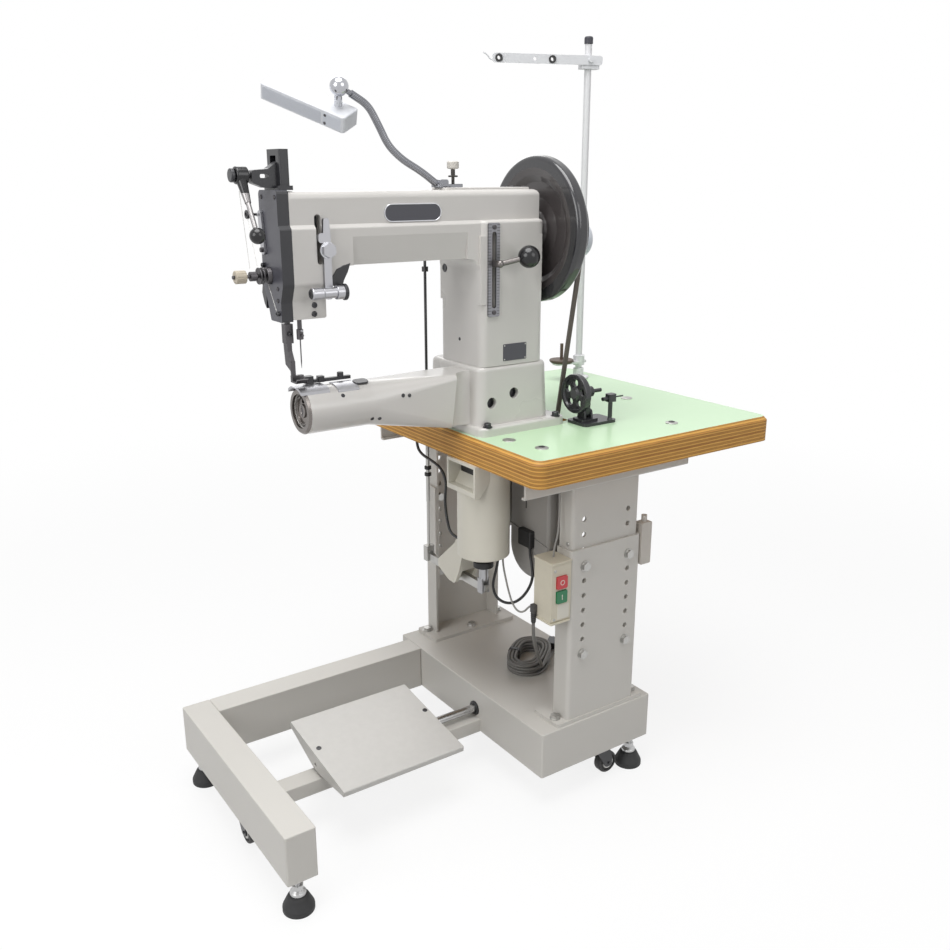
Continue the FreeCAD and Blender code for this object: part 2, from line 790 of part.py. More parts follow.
def v_belt():
    """Closed V-belt: two straight strands and two wraps that share their end sections."""
    strands = []
    angles = []
    for side in (1, -1):
        (y0, z0), (y1, z1) = tangent_line(head_y, shaft_z, pulley_r, motor_y, motor_z, motor_pulley_r, side)
        angle = math.degrees(math.atan2(z0 - shaft_z, y0 - head_y))
        face = Part.Face(outline([(belt_x + a, b) for a, b in belt_section()], "xy"))
        face.rotate(V(0, 0, 0), X, angle)
        face.translate(V(0, y0, z0))
        strands.append(face.extrude(V(0, y1 - y0, z1 - z0)))
        angles.append(angle)
    low, high = min(angles), max(angles)
    if math.sin(math.radians((low + high) / 2)) < 0:
        low, high = high, low + 360
    top = belt_wrap(head_y, shaft_z, pulley_r, low, high - low)
    bottom = belt_wrap(motor_y, motor_z, motor_pulley_r, high, 360 - (high - low))
    return join(strands[0], strands[1], top, bottom)


def handwheel():
    """Dished wheel with a deep stepped face, the belt pulley behind it and the main shaft stub."""
    bore_end = post_right - 60 - wheel_x
    hub = groove_profile(pulley_r, shaft_r, belt_wide / 2 + 5)
    rim = [(0, shaft_r), (0, 34), (6, 40, 4), (12, 62), (12, 92, 3), (3, 104, 4), (0, 118, 3),
           (0, wheel_r, 8),
           (rim_thick, wheel_r, 8), (rim_thick, wheel_r - 20), (rim_thick + 6, pulley_r + 4),
           (rim_thick + 6, shaft_r)]
    wheel = turned(rim, "x", (wheel_x, head_y, shaft_z))
    pulley = turned(hub, "x", (belt_x, head_y, shaft_z))
    tip = belt_x + belt_wide / 2 + 5 + shaft_end - 1
    shaft = rod((wheel_x + bore_end, head_y, shaft_z), (tip, head_y, shaft_z), shaft_r)
    collar = turned([(post_right + free_gap - wheel_x, shaft_r - 1),
                     (post_right + free_gap - wheel_x, 30, 2),
                     (2, 30), (2, shaft_r - 1)], "x", (wheel_x, head_y, shaft_z))
    return join(wheel, pulley, shaft, collar)


sync_long = 74.0
sync_r = 37.0
sync_drop = 22.0


def synchroniser():
    """Needle-position sensor: moulded case that rides on the outer end of the main shaft."""
    start = belt_x + belt_wide / 2 + 5 + free_gap
    neck = turned([(0, 0), (0, 24, 2), (16, 24), (16, 0)], "x", (start, head_y, shaft_z))
    case = turned([(10, 0), (10, sync_r, 4), (sync_long, sync_r, 12), (sync_long, 0)], "x",
                  (start, head_y, shaft_z - sync_drop))
    bore = rod((start - 1, head_y, shaft_z), (start + shaft_end, head_y, shaft_z), shaft_r + run_gap)
    return less(join(neck, case), bore)


# Machine castings

def loft(sections):
    return Part.makeLoft(sections, True, True)


def section_yz(x, half_y, half_z, middle_z, corner):
    wire = outline(rect(head_y - half_y, head_y + half_y, middle_z - half_z, middle_z + half_z, corner),
                   "yz")
    wire.translate(X * x)
    return wire


def plan_wire(x0, x1, y0, y1, corner, z):
    wire = outline(rect(x0, x1, y0, y1, corner), "xy")
    wire.translate(Z * z)
    return wire


def bed_casting():
    """Foot flange, drafted pedestal and the cylinder arm that runs out to the hook."""
    flange = block(flange_left, flange_right, flange_front, flange_back, table_top,
                   table_top + flange_thick, 18)
    flange = soften(flange, 5, at_height(table_top + flange_thick))
    d = block_draft
    low = table_top + flange_thick - 1
    pedestal = loft([plan_wire(block_left, block_right, block_front, block_back, 20, low),
                     plan_wire(block_left + d, block_right - d, block_front + d, block_back - d, 20,
                               block_top)])
    pedestal = soften(pedestal, 9, at_height(block_top))
    tube = rod((tube_end, head_y, tube_z), (tube_root, head_y, tube_z), tube_r)
    box = loft([section_yz(tube_root - 2, tube_r - 0.2, tube_r - 0.2, tube_z, tube_r - 1),
                section_yz(root_x, root_half_y, root_half_z, root_z, root_corner)])
    root = prism(rect(head_y - root_half_y, head_y + root_half_y, root_z - root_half_z,
                      root_z + root_half_z,
                      root_corner), "yz", root_x, block_left + 12)
    scoop_x, scoop_y = (root_x + block_left) / 2 + 3, head_y - root_half_y - 4
    scoop = rod((scoop_x - scoop_lean, scoop_y, table_top - 10),
                (scoop_x + scoop_lean, scoop_y, block_top + 10), scoop_r)
    body = join(flange, pedestal, tube, less(join(box, root), scoop))
    race = rod((tube_end - 1, head_y, tube_z), (tube_end + race_deep, head_y, tube_z), race_r)
    bore = rod((tube_end + race_deep - 1, head_y, tube_z), (tube_end + race_deep + 40, head_y, tube_z),
               7 + run_gap)
    well = rod((needle_x, head_y, tube_z), (needle_x, head_y, plate_z + 5), 3)
    tools = [race, bore, well]
    for x, z in ((-14.0, 844.0), (40.0, 858.0)):
        tools.append(rod((x, block_front - 2, z), (x, block_front + 16, z), 11))
    for x in (flange_left + 22, flange_right - 22):
        for y in (flange_front + 9, flange_back - 9):
            tools.append(rod((x, y, table_top - 1), (x, y, table_top + flange_thick + 1), 4.5))
    return less(body, *tools)


def arm_profile(low_half, low, step=None):
    """Half-symmetric cross-section of arm and head, front corner first, as (y, z, radius)."""
    front = [(low_half, low, 3)]
    if step is not None:
        front += [(low_half, step, 12), (bead_half, step + 28, 14)]
    front += [(bead_half, ledge_z - 5, 4), (band_half, ledge_z + 1), (band_half, arm_top, 12)]
    left = [(head_y - h, z, r[0] if r else 0) for h, z, *r in front]
    right = [(head_y + h, z, r[0] if r else 0) for h, z, *r in reversed(front)]
    return left + right


def arm_casting():
    """Post, arm and needle head in one casting: the side outline crossed with the arm section."""
    side = [(head_left, nose_low, 4), (nose_right, nose_low, 4), (nose_right, nose_step + 4, 10),
            (head_arch - 18, arm_low, 30), (post_left, arm_low, 24), (post_left, block_top + 120),
            (post_right - 8, block_top + 120), (post_right - 8, arm_top, 10), (head_left, arm_top, 8)]
    arm = prism(side, "xz", head_y - 90, head_y + 90)
    section = prism(arm_profile(nose_half, nose_low - 200, nose_step), "yz", head_left - 1, post_right + 1)
    section = section.fuse(prism(rect(post_front, post_back, block_top, arm_low + 40), "yz",
                                 post_left - 1, post_right))
    arm = arm.common(section)
    for s in (-1, 1):
        lean = [(head_y + s * bead_half, ledge_z - 20), (head_y + s * (bead_half + 8), ledge_z - 20),
                (head_y + s * (bead_half + 8), arm_low - 20),
                (head_y + s * (arm_low_half - 3), arm_low - 20)]
        arm = less(arm, prism(lean, "yz", head_arch + 4, post_left - 26))
    post = block(post_left, post_right, post_front, post_back, block_top, ledge_z, 16)
    post = soften(post, 6, at_height(ledge_z))
    body = join(arm, post)
    tools = [rod((post_left + 60, head_y, shaft_z), (post_right + 1, head_y, shaft_z), shaft_r + run_gap)]
    tools.append(rod((needle_x, head_y, nose_low - 1), (needle_x, head_y, arm_top - 18),
                     needle_bar_r + run_gap))
    tools.append(rod((presser_x, presser_y, nose_low - 1), (presser_x, presser_y, arm_top - 18),
                     presser_bar_r + run_gap))
    slot = prism(rect(link_x - 16, link_x - 4, arm_low + 4, ledge_z + 18, 5.9), "xz",
                 head_y - bead_half - 20, head_y - bead_half + 22)
    tools.append(slot)
    tools.append(stitch_cavity())
    body = less(body, *tools)
    return join(body, stitch_pin(), rod_guide())


# Stitch-length lever on the post

stitch_x = -9.0
stitch_slot = 10.0
stitch_low = 1012.0
stitch_high = 1186.0
stitch_pivot_y = -52.0
stitch_pivot_z = 1112.0
stitch_swing = 24.0
stitch_plate_thick = 4.0


def stitch_cavity():
    """Slot in the front of the post that the stitch lever swings in."""
    half = stitch_slot / 2
    return block(stitch_x - half, stitch_x + half, post_front - 1, stitch_pivot_y + 16,
                 stitch_low + 14, stitch_high - 14)


def stitch_pin():
    return rod((stitch_x - stitch_slot, stitch_pivot_y, stitch_pivot_z),
               (stitch_x + stitch_slot, stitch_pivot_y, stitch_pivot_z), 4)


def stitch_plate():
    """Graduated steel plate with a long slot, on the front of the post."""
    half = stitch_slot / 2
    plate = prism(rect(stitch_x - 13, stitch_x + 13, stitch_low, stitch_high, 4), "xz",
                  post_front - stitch_plate_thick, post_front)
    slot = prism(rect(stitch_x - half, stitch_x + half, stitch_low + 16, stitch_high - 16, half * 0.98),
                 "xz",
                 post_front - stitch_plate_thick - 1, post_front + 1)
    return less(plate, slot)


def stitch_lever():
    """Flat lever on the hidden pin, cranked to the right outside the slot, with a ball grip."""
    half = stitch_slot / 2 - free_gap
    z = stitch_pivot_z
    eye = rod((stitch_x - half, stitch_pivot_y, z), (stitch_x + half, stitch_pivot_y, z), 9)
    blade = block(stitch_x - half, stitch_x + half, post_front - 24, stitch_pivot_y, z - 6, z + 6)
    grip = (stitch_x + 56, post_front - 38, z + 12)
    crank = rod((stitch_x, post_front - 23, z), grip, 5)
    knuckle = Part.makeSphere(7, V(stitch_x, post_front - 23, z))
    knob = Part.makeSphere(21, V(*grip))
    lever = join(eye, blade, crank, knuckle, knob)
    bore = rod((stitch_x - 20, stitch_pivot_y, z), (stitch_x + 20, stitch_pivot_y, z), 4 + run_gap)
    return less(lever, bore)


def rod_guide():
    """Rear lug of the post with an eye for the pull rod."""
    z = lift_rod_top - 30
    lug = prism([(coil_x - 12, post_back - 10), (coil_x + 40, post_back - 10),
                 (coil_x + 12, lift_rod_y + 14, 11),
                 (coil_x - 12, lift_rod_y + 14, 11)], "xy", z, z + 16)
    return less(lug, rod((coil_x, lift_rod_y, z - 1), (coil_x, lift_rod_y, z + 17), lift_rod_r + run_gap))


def top_cover():
    """Thin cover plate over the arm's oil opening."""
    plate = block(-96, 96, head_y - 26, head_y + 26, arm_top, arm_top + 4, 5)
    return soften(plate, 1.5, at_height(arm_top + 4))


# Needle end

link_x = -352.0
link_z = 1150.0
link_thick = 6.0
link_low_z = 1080.0


def face_cover():
    """Cast cover on the left end that repeats the head's front profile, cut away low at the back."""
    front = head_y - bead_half
    nose = head_y - nose_half
    return prism([(nose, nose_low - 3, 3), (cover_back - 24, nose_low - 3, 4),
                  (cover_back - 14, nose_step - 4), (cover_back, nose_step + 26),
                  (cover_back, arm_top + 2, 8), (head_y - band_half, arm_top + 2, 6),
                  (head_y - band_half, ledge_z + 1),
                  (front, ledge_z - 5, 4), (front, nose_step + 28, 14), (nose, nose_step, 12)],
                 "yz", head_left - cover_thick, head_left)


tower_x = -420.0
tower_thick = 17.0
tower_deep = 51.0
tower_top = 1311.0
lift_hub_x = -470.0
lift_hub_y = -72.0
lift_hub_z = 1270.0


def lifter_bracket():
    """Tall slotted guide above the head with an arm out to the hand lever's pivot."""
    y0 = head_y - 30
    base = arm_top + 2
    tower = block(tower_x, tower_x + tower_thick, y0, y0 + tower_deep, base, tower_top, 3)
    slot = block(tower_x - 1, tower_x + tower_thick - 5, y0 + 14, y0 + tower_deep - 14, base + 30,
                 tower_top - 10)
    foot = block(tower_x - 6, tower_x + tower_thick + 4, y0 - 4, y0 + tower_deep + 4, base, base + 7, 3)
    arm = prism([(lift_hub_x + 6, lift_hub_z - 12, 5), (tower_x - 24, base + 4), (tower_x + 2, base + 2),
                 (tower_x + 2, lift_hub_z + 22), (tower_x - 16, lift_hub_z + 10, 10),
                 (lift_hub_x + 6, lift_hub_z + 8, 5)],
                "xz", lift_hub_y - 9, lift_hub_y + 9)
    window = prism(rect(lift_hub_x + 20, tower_x - 14, lift_hub_z - 4, lift_hub_z + 2, 2), "xz",
                   lift_hub_y - 20, lift_hub_y + 20)
    pin = rod((lift_hub_x + 8, lift_hub_y, lift_hub_z), (lift_hub_x - 23, lift_hub_y, lift_hub_z), 5)
    cap = turned([(-28, 0), (-28, 11, 2), (-21, 11, 2), (-21, 0)], "x",
                 (lift_hub_x, lift_hub_y, lift_hub_z))
    return join(less(tower, slot), foot, less(arm, window), pin, cap)


def hand_lifter():
    """Presser-foot hand lever: tear-shaped hub, round steel arm and a ball grip."""
    reach = V(0, -56, -92)
    hub = turned([(-20, 5 + run_gap), (-20, 14, 3), (free_gap, 14, 2), (free_gap, 5 + run_gap)], "x",
                 (lift_hub_x, lift_hub_y, lift_hub_z))
    start = V(lift_hub_x - 10, lift_hub_y, lift_hub_z)
    along = V(reach).normalize()
    web = Part.makeCone(9, 5, 40, start + along * 10, along)
    arm = rod(start + along * 20, start + reach, 4)
    ball = Part.makeSphere(13, start + reach)
    return join(hub, web, arm, ball)


def needle_bar():
    """Needle bar with its clamp and needle."""
    bar = rod((needle_x, head_y, clamp_z), (needle_x, head_y, arm_top - 40), needle_bar_r)
    clamp = turned([(0, 0), (0, 6, 1), (18, 6, 1), (18, 0)], "z", (needle_x, head_y, clamp_z - 8))
    screw = rod((needle_x, head_y - 11, clamp_z), (needle_x, head_y, clamp_z), 2.5)
    shank = rod((needle_x, head_y, needle_tip + 12), (needle_x, head_y, clamp_z), needle_r)
    point = Part.makeCone(0.3, needle_r, 12, V(needle_x, head_y, needle_tip), Z)
    return join(bar, clamp, screw, shank, point)


def presser_bar():
    """Presser bar with its clamp, the flat holder and the narrow foot that reaches round the needle."""
    sole = plate_z + foot_gap
    bar = rod((presser_x, presser_y, holder_knee + 10), (presser_x, presser_y, arm_top - 40), presser_bar_r)
    clamp = block(presser_x - 8, presser_x + 7, presser_y - 9, presser_y + 9, holder_top - 34, holder_top,
                  2)
    holder = prism([(presser_y - 8, holder_top, 2), (presser_y - 8, holder_knee),
                    (head_y + 4, holder_knee - 20),
                    (head_y + 4, holder_toe), (presser_y + 4, holder_toe + 10),
                    (presser_y + 8, holder_knee + 10),
                    (presser_y + 8, holder_top, 2)], "yz", presser_x - 6, presser_x + 3)
    leg = prism([(head_y + 4, holder_toe + 18), (head_y + 4, sole + 8), (head_y + 10, sole + 8),
                 (head_y + 12, holder_toe + 18)], "yz", presser_x - 4, presser_x + 3)
    toe = prism([(head_y - 16, sole + 7), (head_y - 13, sole + 8), (head_y - 9, sole + 3),
                 (head_y + 4, sole + 3),
                 (head_y + 4, sole + 12), (head_y + 12, sole + 12), (head_y + 12, sole),
                 (head_y - 10, sole)], "yz",
                presser_x - 4, needle_x + 5)
    eye = rod((needle_x, head_y, sole - 2), (needle_x, head_y, sole + 14), 2.6)
    return less(join(bar, clamp, holder, leg, toe), eye)


take_up_y = -44.0
take_up_z = 1150.0


def take_up_lever():
    """Thread take-up: a flat arm on the left end with a thread eye at its tip."""
    x1 = head_left - cover_thick - free_gap
    x0 = x1 - 4
    arm = prism([(take_up_y - 8, take_up_z - 8, 7), (take_up_y + 8, take_up_z - 8, 7),
                 (take_up_y + 14, take_up_z + 62, 5),
                 (take_up_y + 2, take_up_z + 66, 5)], "yz", x0, x1)
    eye = rod((x0 - 1, take_up_y + 7, take_up_z + 57), (x1 + 1, take_up_y + 7, take_up_z + 57), 2.6)
    bore = rod((x0 - 1, take_up_y, take_up_z), (x1 + 1, take_up_y, take_up_z), 4 + run_gap)
    return less(arm, eye, bore)


tension_y = -56.0
tension_z = 1108.0


def tension_unit():
    """Tension post with a pair of dished discs and the stop washer of its spring."""
    x = head_left - cover_thick
    post = rod((x, tension_y, tension_z), (x - 66, tension_y, tension_z), 3)
    seat = turned([(-8, 0), (-8, 13, 2), (0, 15, 1), (0, 0)], "x", (x, tension_y, tension_z))
    discs = []
    for i in range(2):
        a = -11.0 - 5.5 * i
        discs.append(turned([(a - 2.5, 2), (a - 2.5, 9), (a - 4, 14), (a - 2.6, 14.2), (a, 9), (a, 2)], "x",
                            (x, tension_y, tension_z)))
    collar = turned([(-36, 2), (-36, 8, 1), (-24, 8, 1), (-22, 5), (-22, 2)], "x",
                    (x, tension_y, tension_z))
    take_up_pin = rod((x, take_up_y, take_up_z), (x - 9, take_up_y, take_up_z), 4)
    body = join(post, seat, collar, *discs)
    return Part.makeCompound([body, take_up_pin])


def tension_nut():
    """Knurled adjusting nut on the tension post."""
    x = head_left - cover_thick
    grip = turned([(-62, 3 + run_gap), (-62, 11, 1.5), (-44, 11, 1.5), (-42, 6), (-42, 3 + run_gap)], "x",
                  (x, tension_y, tension_z))
    notches = []
    for i in range(12):
        turn = math.radians(30 * i)
        notches.append(rod((x - 70, tension_y + 12 * math.cos(turn), tension_z + 12 * math.sin(turn)),
                           (x - 40, tension_y + 12 * math.cos(turn), tension_z + 12 * math.sin(turn)), 1.6))
    return less(grip, *notches)


def foot_link():
    """Walking-foot link on the front of the head: flat bar, clamp bolt in the slot and the lower pin."""
    face = head_y - bead_half
    near = face - free_gap
    far = near - link_thick
    bar = prism([(link_x - 7, link_low_z - 12, 5), (link_x + 7, link_low_z - 12, 5),
                 (link_x + 7, link_z + 20, 2),
                 (link_x + 5, link_z + 52, 3), (link_x - 5, link_z + 52, 3), (link_x - 7, link_z + 20, 2)],
                "xz", far, near)
    bolt_head = bolt((link_x, far, link_z), Y * -1, 6.5, 4, nut=False)
    guide = rod((link_x - 10, far, link_z + 20), (link_x - 10, face + 16, link_z + 20), 4.5)
    ear = prism(rect(link_x - 15, link_x, link_z + 12, link_z + 28, 4), "xz", far, near)
    pin_y = far - 9
    sleeve = turned([(-16, 0), (-16, 9, 1), (8, 9), (8, 12, 1), (22, 12, 1), (22, 14, 1), (27, 14, 1),
                     (27, 9, 1),
                     (29, 9, 1), (29, 0)], "x", (link_x, pin_y, link_low_z))
    hub = turned([(-38, 0), (-38, 10, 2), (-16, 10, 2), (-16, 0)], "x", (link_x, pin_y, link_low_z))
    seat = block(link_x - 7, link_x + 7, pin_y, far + 1, link_low_z - 8, link_low_z + 8)
    return join(bar, bolt_head, guide, ear, sleeve, hub, seat)


# Hook end of the cylinder arm

def hook_ring():
    return turned([(-ring_thick, race_r + 1), (-ring_thick, tube_r - 3, 1), (-1, tube_r), (0, tube_r),
                   (0, race_r + 1)],
                  "x", (tube_end, head_y, tube_z))


def shuttle():
    """Oscillating shuttle: open cup with the bobbin inside and its drive shaft behind."""
    cup_r = race_r - 4
    cup = turned([(2, 0), (2, 5), (0, 6), (0, 12), (3, 13), (3, cup_r - 4), (0, cup_r - 3), (0, cup_r, 1),
                  (race_deep - 10, cup_r, 2), (race_deep - 10, 0)], "x", (tube_end, head_y, tube_z))
    shaft = rod((tube_end + 8, head_y, tube_z), (tube_end + race_deep + 36, head_y, tube_z), 7)
    notch = block(tube_end - 2, tube_end + 14, head_y - 5, head_y + 5, tube_z + 14, tube_z + cup_r + 5)
    return join(less(cup, notch), shaft)


def saddle(x0, x1, inner, outer, low_z, y0, y1):
    """Curved plate that hugs the cylinder arm, flat on its working top."""
    shell = rod((x0, head_y, tube_z), (x1, head_y, tube_z), outer)
    shell = less(shell, rod((x0 - 1, head_y, tube_z), (x1 + 1, head_y, tube_z), inner))
    return shell.common(block(x0, x1, y0, y1, low_z, plate_z))


throat_x = (-402.0, -346.0)
slide_x = (-330.0, -288.0)


guide_left = -374.0
guide_long = 92.0


def throat_plate():
    plate = saddle(throat_x[0], throat_x[1], tube_r, tube_r + 4.5, plate_z - 12, head_y - 26, head_y + 28)
    ring_room = rod((tube_end - ring_thick - 8, head_y, tube_z), (tube_end, head_y, tube_z), tube_r + 0.2)
    needle_hole = rod((needle_x, head_y, plate_z - 20), (needle_x, head_y, plate_z + 5), 2.8)
    return less(plate, ring_room, needle_hole)


def slide_plate():
    """Curved bobbin cover that slides along the arm."""
    return saddle(slide_x[0], slide_x[1], tube_r + 0.3, tube_r + 2.3, plate_z - 16, head_y - 28,
                  head_y + 10)


def edge_guide():
    """Seam guide: a bar on the throat plate with a fence block and a knurled clamp screw."""
    z = plate_z + free_gap
    y = head_y + 19
    bar = block(guide_left, guide_left + guide_long, y - 4, y + 4, z, z + 6, 2)
    fence = block(guide_left, guide_left + 16, y - 7, y + 7, z, z + 13, 2)
    second = block(guide_left + 26, guide_left + 38, y - 6, y + 6, z, z + 11, 2)
    screw = turned([(0, 0), (0, 6, 1), (9, 6, 1.5), (9, 0)], "z", (guide_left + guide_long - 20, y, z + 5))
    return join(bar, fence, second, screw)


# Lamp

lamp_long = 170.0
lamp_wide = 47.0
lamp_tall = 28.0
lamp_blind = 44.0      # closed end of the underside
lamp_ball_r = 11.0
lamp_joint = (-295.0, -69.0, 1412.0)
lamp_turns = ((X, 24.8), (Y, 21.1), (Z, -54.9))
lamp_socket = (53.0, 7.5, 61.0)      # ball centre from the middle of the lamp's underside


def tube(points, r):
    """Round tube along straight runs joined by arcs as large as the runs allow."""
    spots = [V(*p) for p in points]
    edges = []
    last = spots[0]
    radii = []
    for i in range(1, len(spots) - 1):
        back = spots[i - 1] - spots[i]
        ahead = spots[i + 1] - spots[i]
        shorter = min(back.Length, ahead.Length)
        back.normalize()
        ahead.normalize()
        half = back.getAngle(ahead) / 2
        reach = 0.45 * shorter
        bend = reach * math.tan(half)
        inward = back + ahead
        inward.normalize()
        start = spots[i] + back * reach
        end = spots[i] + ahead * reach
        middle = spots[i] + inward * (bend / math.sin(half) - bend)
        edges.append(Part.LineSegment(last, start).toShape())
        edges.append(Part.Arc(start, middle, end).toShape())
        radii.append(round(bend, 1))
        last = end
    edges.append(Part.LineSegment(last, spots[-1]).toShape())
    path = Part.Wire(edges)
    ring = Part.Wire(Part.makeCircle(r, spots[0], spots[1] - spots[0]))
    solid = path.makePipeShell([ring], True, False)
    share = solid.Volume / (math.pi * r * r * path.Length)
    print("tube r", r, "length", round(path.Length, 1), "radii", radii, "volume share", round(share, 4))
    return solid


neck_points = [(-97, -62, 1253), (-131, -62, 1276), (-172, -62, 1297), (-200, -62, 1320), (-219, -62, 1355),
               (-238, -63, 1385), (-272, -66, 1402)]
neck_r = 6.5


def lamp_neck():
    """Gooseneck with its clamp foot and thumbscrew on the arm and the ball socket at the lamp."""
    neck = tube(neck_points, neck_r)
    foot = block(-104, -50, head_y - 14, head_y + 14, arm_top + 4, arm_top + 10, 4)
    block_up = prism([(-102, arm_top + 9), (-80, arm_top + 9), (-80, arm_top + 18, 4),
                      (-98, arm_top + 18, 4)], "xz",
                     head_y - 10, head_y + 10)
    screw = rod((-64, head_y, arm_top + 9), (-64, head_y, arm_top + 34), 3)
    wing = turned([(0, 0), (0, 9, 1), (3, 9, 1), (4, 4), (14, 4), (15, 11, 2), (28, 11, 2), (28, 0)], "z",
                  (-64, head_y, arm_top + 22))
    ferrule = rod(neck_points[-1], lamp_joint, neck_r - 2)
    ball = Part.makeSphere(lamp_ball_r, V(*lamp_joint))
    return join(neck, foot, block_up, screw, wing, ferrule, ball)


def lamp_head():
    """Slim lamp bar with a light window below, a stem and a split socket round the ball."""
    half_l, half_w = lamp_long / 2, lamp_wide / 2
    body = block(-half_l, half_l, -half_w, half_w, 0, lamp_tall, 6)
    body = soften(body, 3, at_height(lamp_tall))
    window = block(-half_l + 5, half_l - lamp_blind, -half_w + 4, half_w - 4, -1, 1.5, 2)
    body = less(body, window)
    x, y, z = lamp_socket
    stem = rod((x, y, lamp_tall - 1), (x, y, z - lamp_ball_r - 1), 7)
    shell = Part.makeSphere(lamp_ball_r + 5, V(x, y, z))
    return less(join(body, stem, shell), Part.makeSphere(lamp_ball_r + run_gap, V(x, y, z)))


def lamp_placed():
    """Lamp turned to its stored aim about the ball, with the socket cut open round the neck."""
    head = lamp_head()
    head.translate(V(*lamp_socket) * -1)
    for axis, angle in lamp_turns:
        head.rotate(V(0, 0, 0), axis, angle)
    head.translate(V(*lamp_joint))
    away = V(*neck_points[-1]) - V(*lamp_joint)
    away.normalize()
    mouth = Part.makeCone(0, 2 * lamp_ball_r, 2 * lamp_ball_r, V(*lamp_joint), away)
    return less(head, mouth)


# Thread stand

pole_x = 492.0
pole_y = 212.0
pole_r = 8.0
pole_top = 1566.0
arm_down = 44.0        # guide arm below the pole's top
arm_z = pole_top - arm_down
arm_reach = 232.0
eye_far = 218.0
eye_near = 92.0
screw_out = 133.0
arm_swing = 20.0       # stored angle of the arm towards the back


def thread_stand():
    """Pole on a flanged foot, with the spool shelf low on the pole and a cap on top."""
    foot = turned([(0, 0), (0, 26, 2), (5, 26, 2), (8, 13), (26, 13, 2), (26, 0)], "z",
                  (pole_x, pole_y, table_top))
    pole = rod((pole_x, pole_y, table_top + 5), (pole_x, pole_y, pole_top), pole_r)
    cap = turned([(0, 0), (0, 10, 1), (16, 10, 4), (16, 0)], "z", (pole_x, pole_y, pole_top - 8))
    shelf = prism([(pole_x + 18, pole_y - 13, 8), (pole_x + 18, pole_y + 13, 8),
                   (pole_x - 78, pole_y + 13, 8),
                   (pole_x - 78, pole_y - 13, 8)], "xy", table_top + 40, table_top + 45)
    collar = rod((pole_x, pole_y, table_top + 34), (pole_x, pole_y, table_top + 58), 14)
    dish = turned([(0, 0), (0, 26, 2), (5, 30, 1), (9, 30, 2), (9, 0)], "z",
                  (pole_x - 56, pole_y, table_top + 44))
    spike = rod((pole_x - 56, pole_y, table_top + 50), (pole_x - 56, pole_y, table_top + 92), 4)
    return join(foot, pole, cap, shelf, collar, dish, spike)


def thread_arm():
    """Upright guide strip clamped on the pole, with two thread eyes, a hole and a wire hook at the tip."""
    low, high = arm_z - 10, arm_z + 10
    strip_y = pole_y - pole_r - 4
    tip = pole_x - arm_reach
    strip = prism(rect(tip, pole_x + 30, low, high, 6), "xz", strip_y - 3, strip_y)
    hub = block(pole_x - 20, pole_x + 24, strip_y - 1, pole_y + pole_r + 4, low - 8, high, 3)
    screw = rod((pole_x, strip_y, arm_z), (pole_x, strip_y - 9, arm_z), 5)
    body = join(strip, hub, screw)
    for dx in (-eye_far, -eye_near):
        body = join(body, rod((pole_x + dx, strip_y - 5, arm_z), (pole_x + dx, strip_y + 2, arm_z), 8))
    tools = [rod((pole_x, pole_y, low - 20), (pole_x, pole_y, high + 20), pole_r + run_gap)]
    for dx in (-eye_far, -eye_near):
        tools.append(rod((pole_x + dx, strip_y - 9, arm_z), (pole_x + dx, strip_y + 9, arm_z), 4.5))
    tools.append(rod((pole_x - screw_out, strip_y - 9, arm_z), (pole_x - screw_out, strip_y + 9, arm_z), 4))
    body = less(body, *tools)
    wire_y = strip_y - 1.5
    hook = tube([(tip + 8, wire_y, arm_z - 5), (tip - 6, wire_y, arm_z - 4), (tip - 13, wire_y, arm_z + 6),
                 (tip - 22, wire_y, arm_z + 10)], 1.4)
    solid = join(body, hook)
    solid.rotate(V(pole_x, pole_y, 0), Z, -arm_swing)
    return solid


# Bobbin winder

winder_z = 846.0
winder_reach = 49.1362  # front strand of the belt to the wheel's axis, level with it
winder_y = strand_y(winder_z) - winder_reach
winder_wheel_r = 40.0
winder_pivot = 20.0    # hinge pin above the table
winder_arm_x = 20.0    # arm from the wheel plane
winder_arm_thick = 12.0


def winder_frame():
    """Cast foot on the table with the hinge ears for the winder arm and the tension post."""
    x0 = belt_x
    foot = block(x0 - 2, x0 + 84, winder_y - 34, winder_y + 27, table_top, table_top + 6, 8)
    pad = block(x0 + 4, x0 + 46, winder_y - 20, winder_y + 16, table_top + 5, table_top + 11, 5)
    pieces = [foot, pad]
    ear = [(winder_y - 12, table_top + 4), (winder_y + 12, table_top + 4),
           (winder_y + 9, table_top + winder_pivot + 9, 8), (winder_y - 9, table_top + winder_pivot + 9, 8)]
    for x in (x0 + winder_arm_x - 5 - free_gap, x0 + winder_arm_x + winder_arm_thick + free_gap):
        pieces.append(prism(ear, "yz", x, x + 5))
    z = table_top + winder_pivot
    pieces.append(rod((x0 + winder_arm_x - 4, winder_y, z), (x0 + winder_arm_x + winder_arm_thick + 4,
                                                             winder_y, z), 3))
    post_y = winder_y - 27
    pieces.append(turned([(0, 0), (0, 7, 1), (6, 4.5), (44, 4.5), (44, 0)], "z",
                         (x0 + 70, post_y, table_top + 4)))
    pieces.append(block(x0 + 61, x0 + 80, post_y - 8, post_y + 8, table_top + 44, table_top + 60, 3))
    pieces.append(rod((x0 + 48, post_y, table_top + 51), (x0 + 64, post_y, table_top + 51), 4))
    pieces.append(rod((x0 + 78, post_y, table_top + 52), (x0 + 104, post_y, table_top + 52), 1.5))
    return join(*pieces)


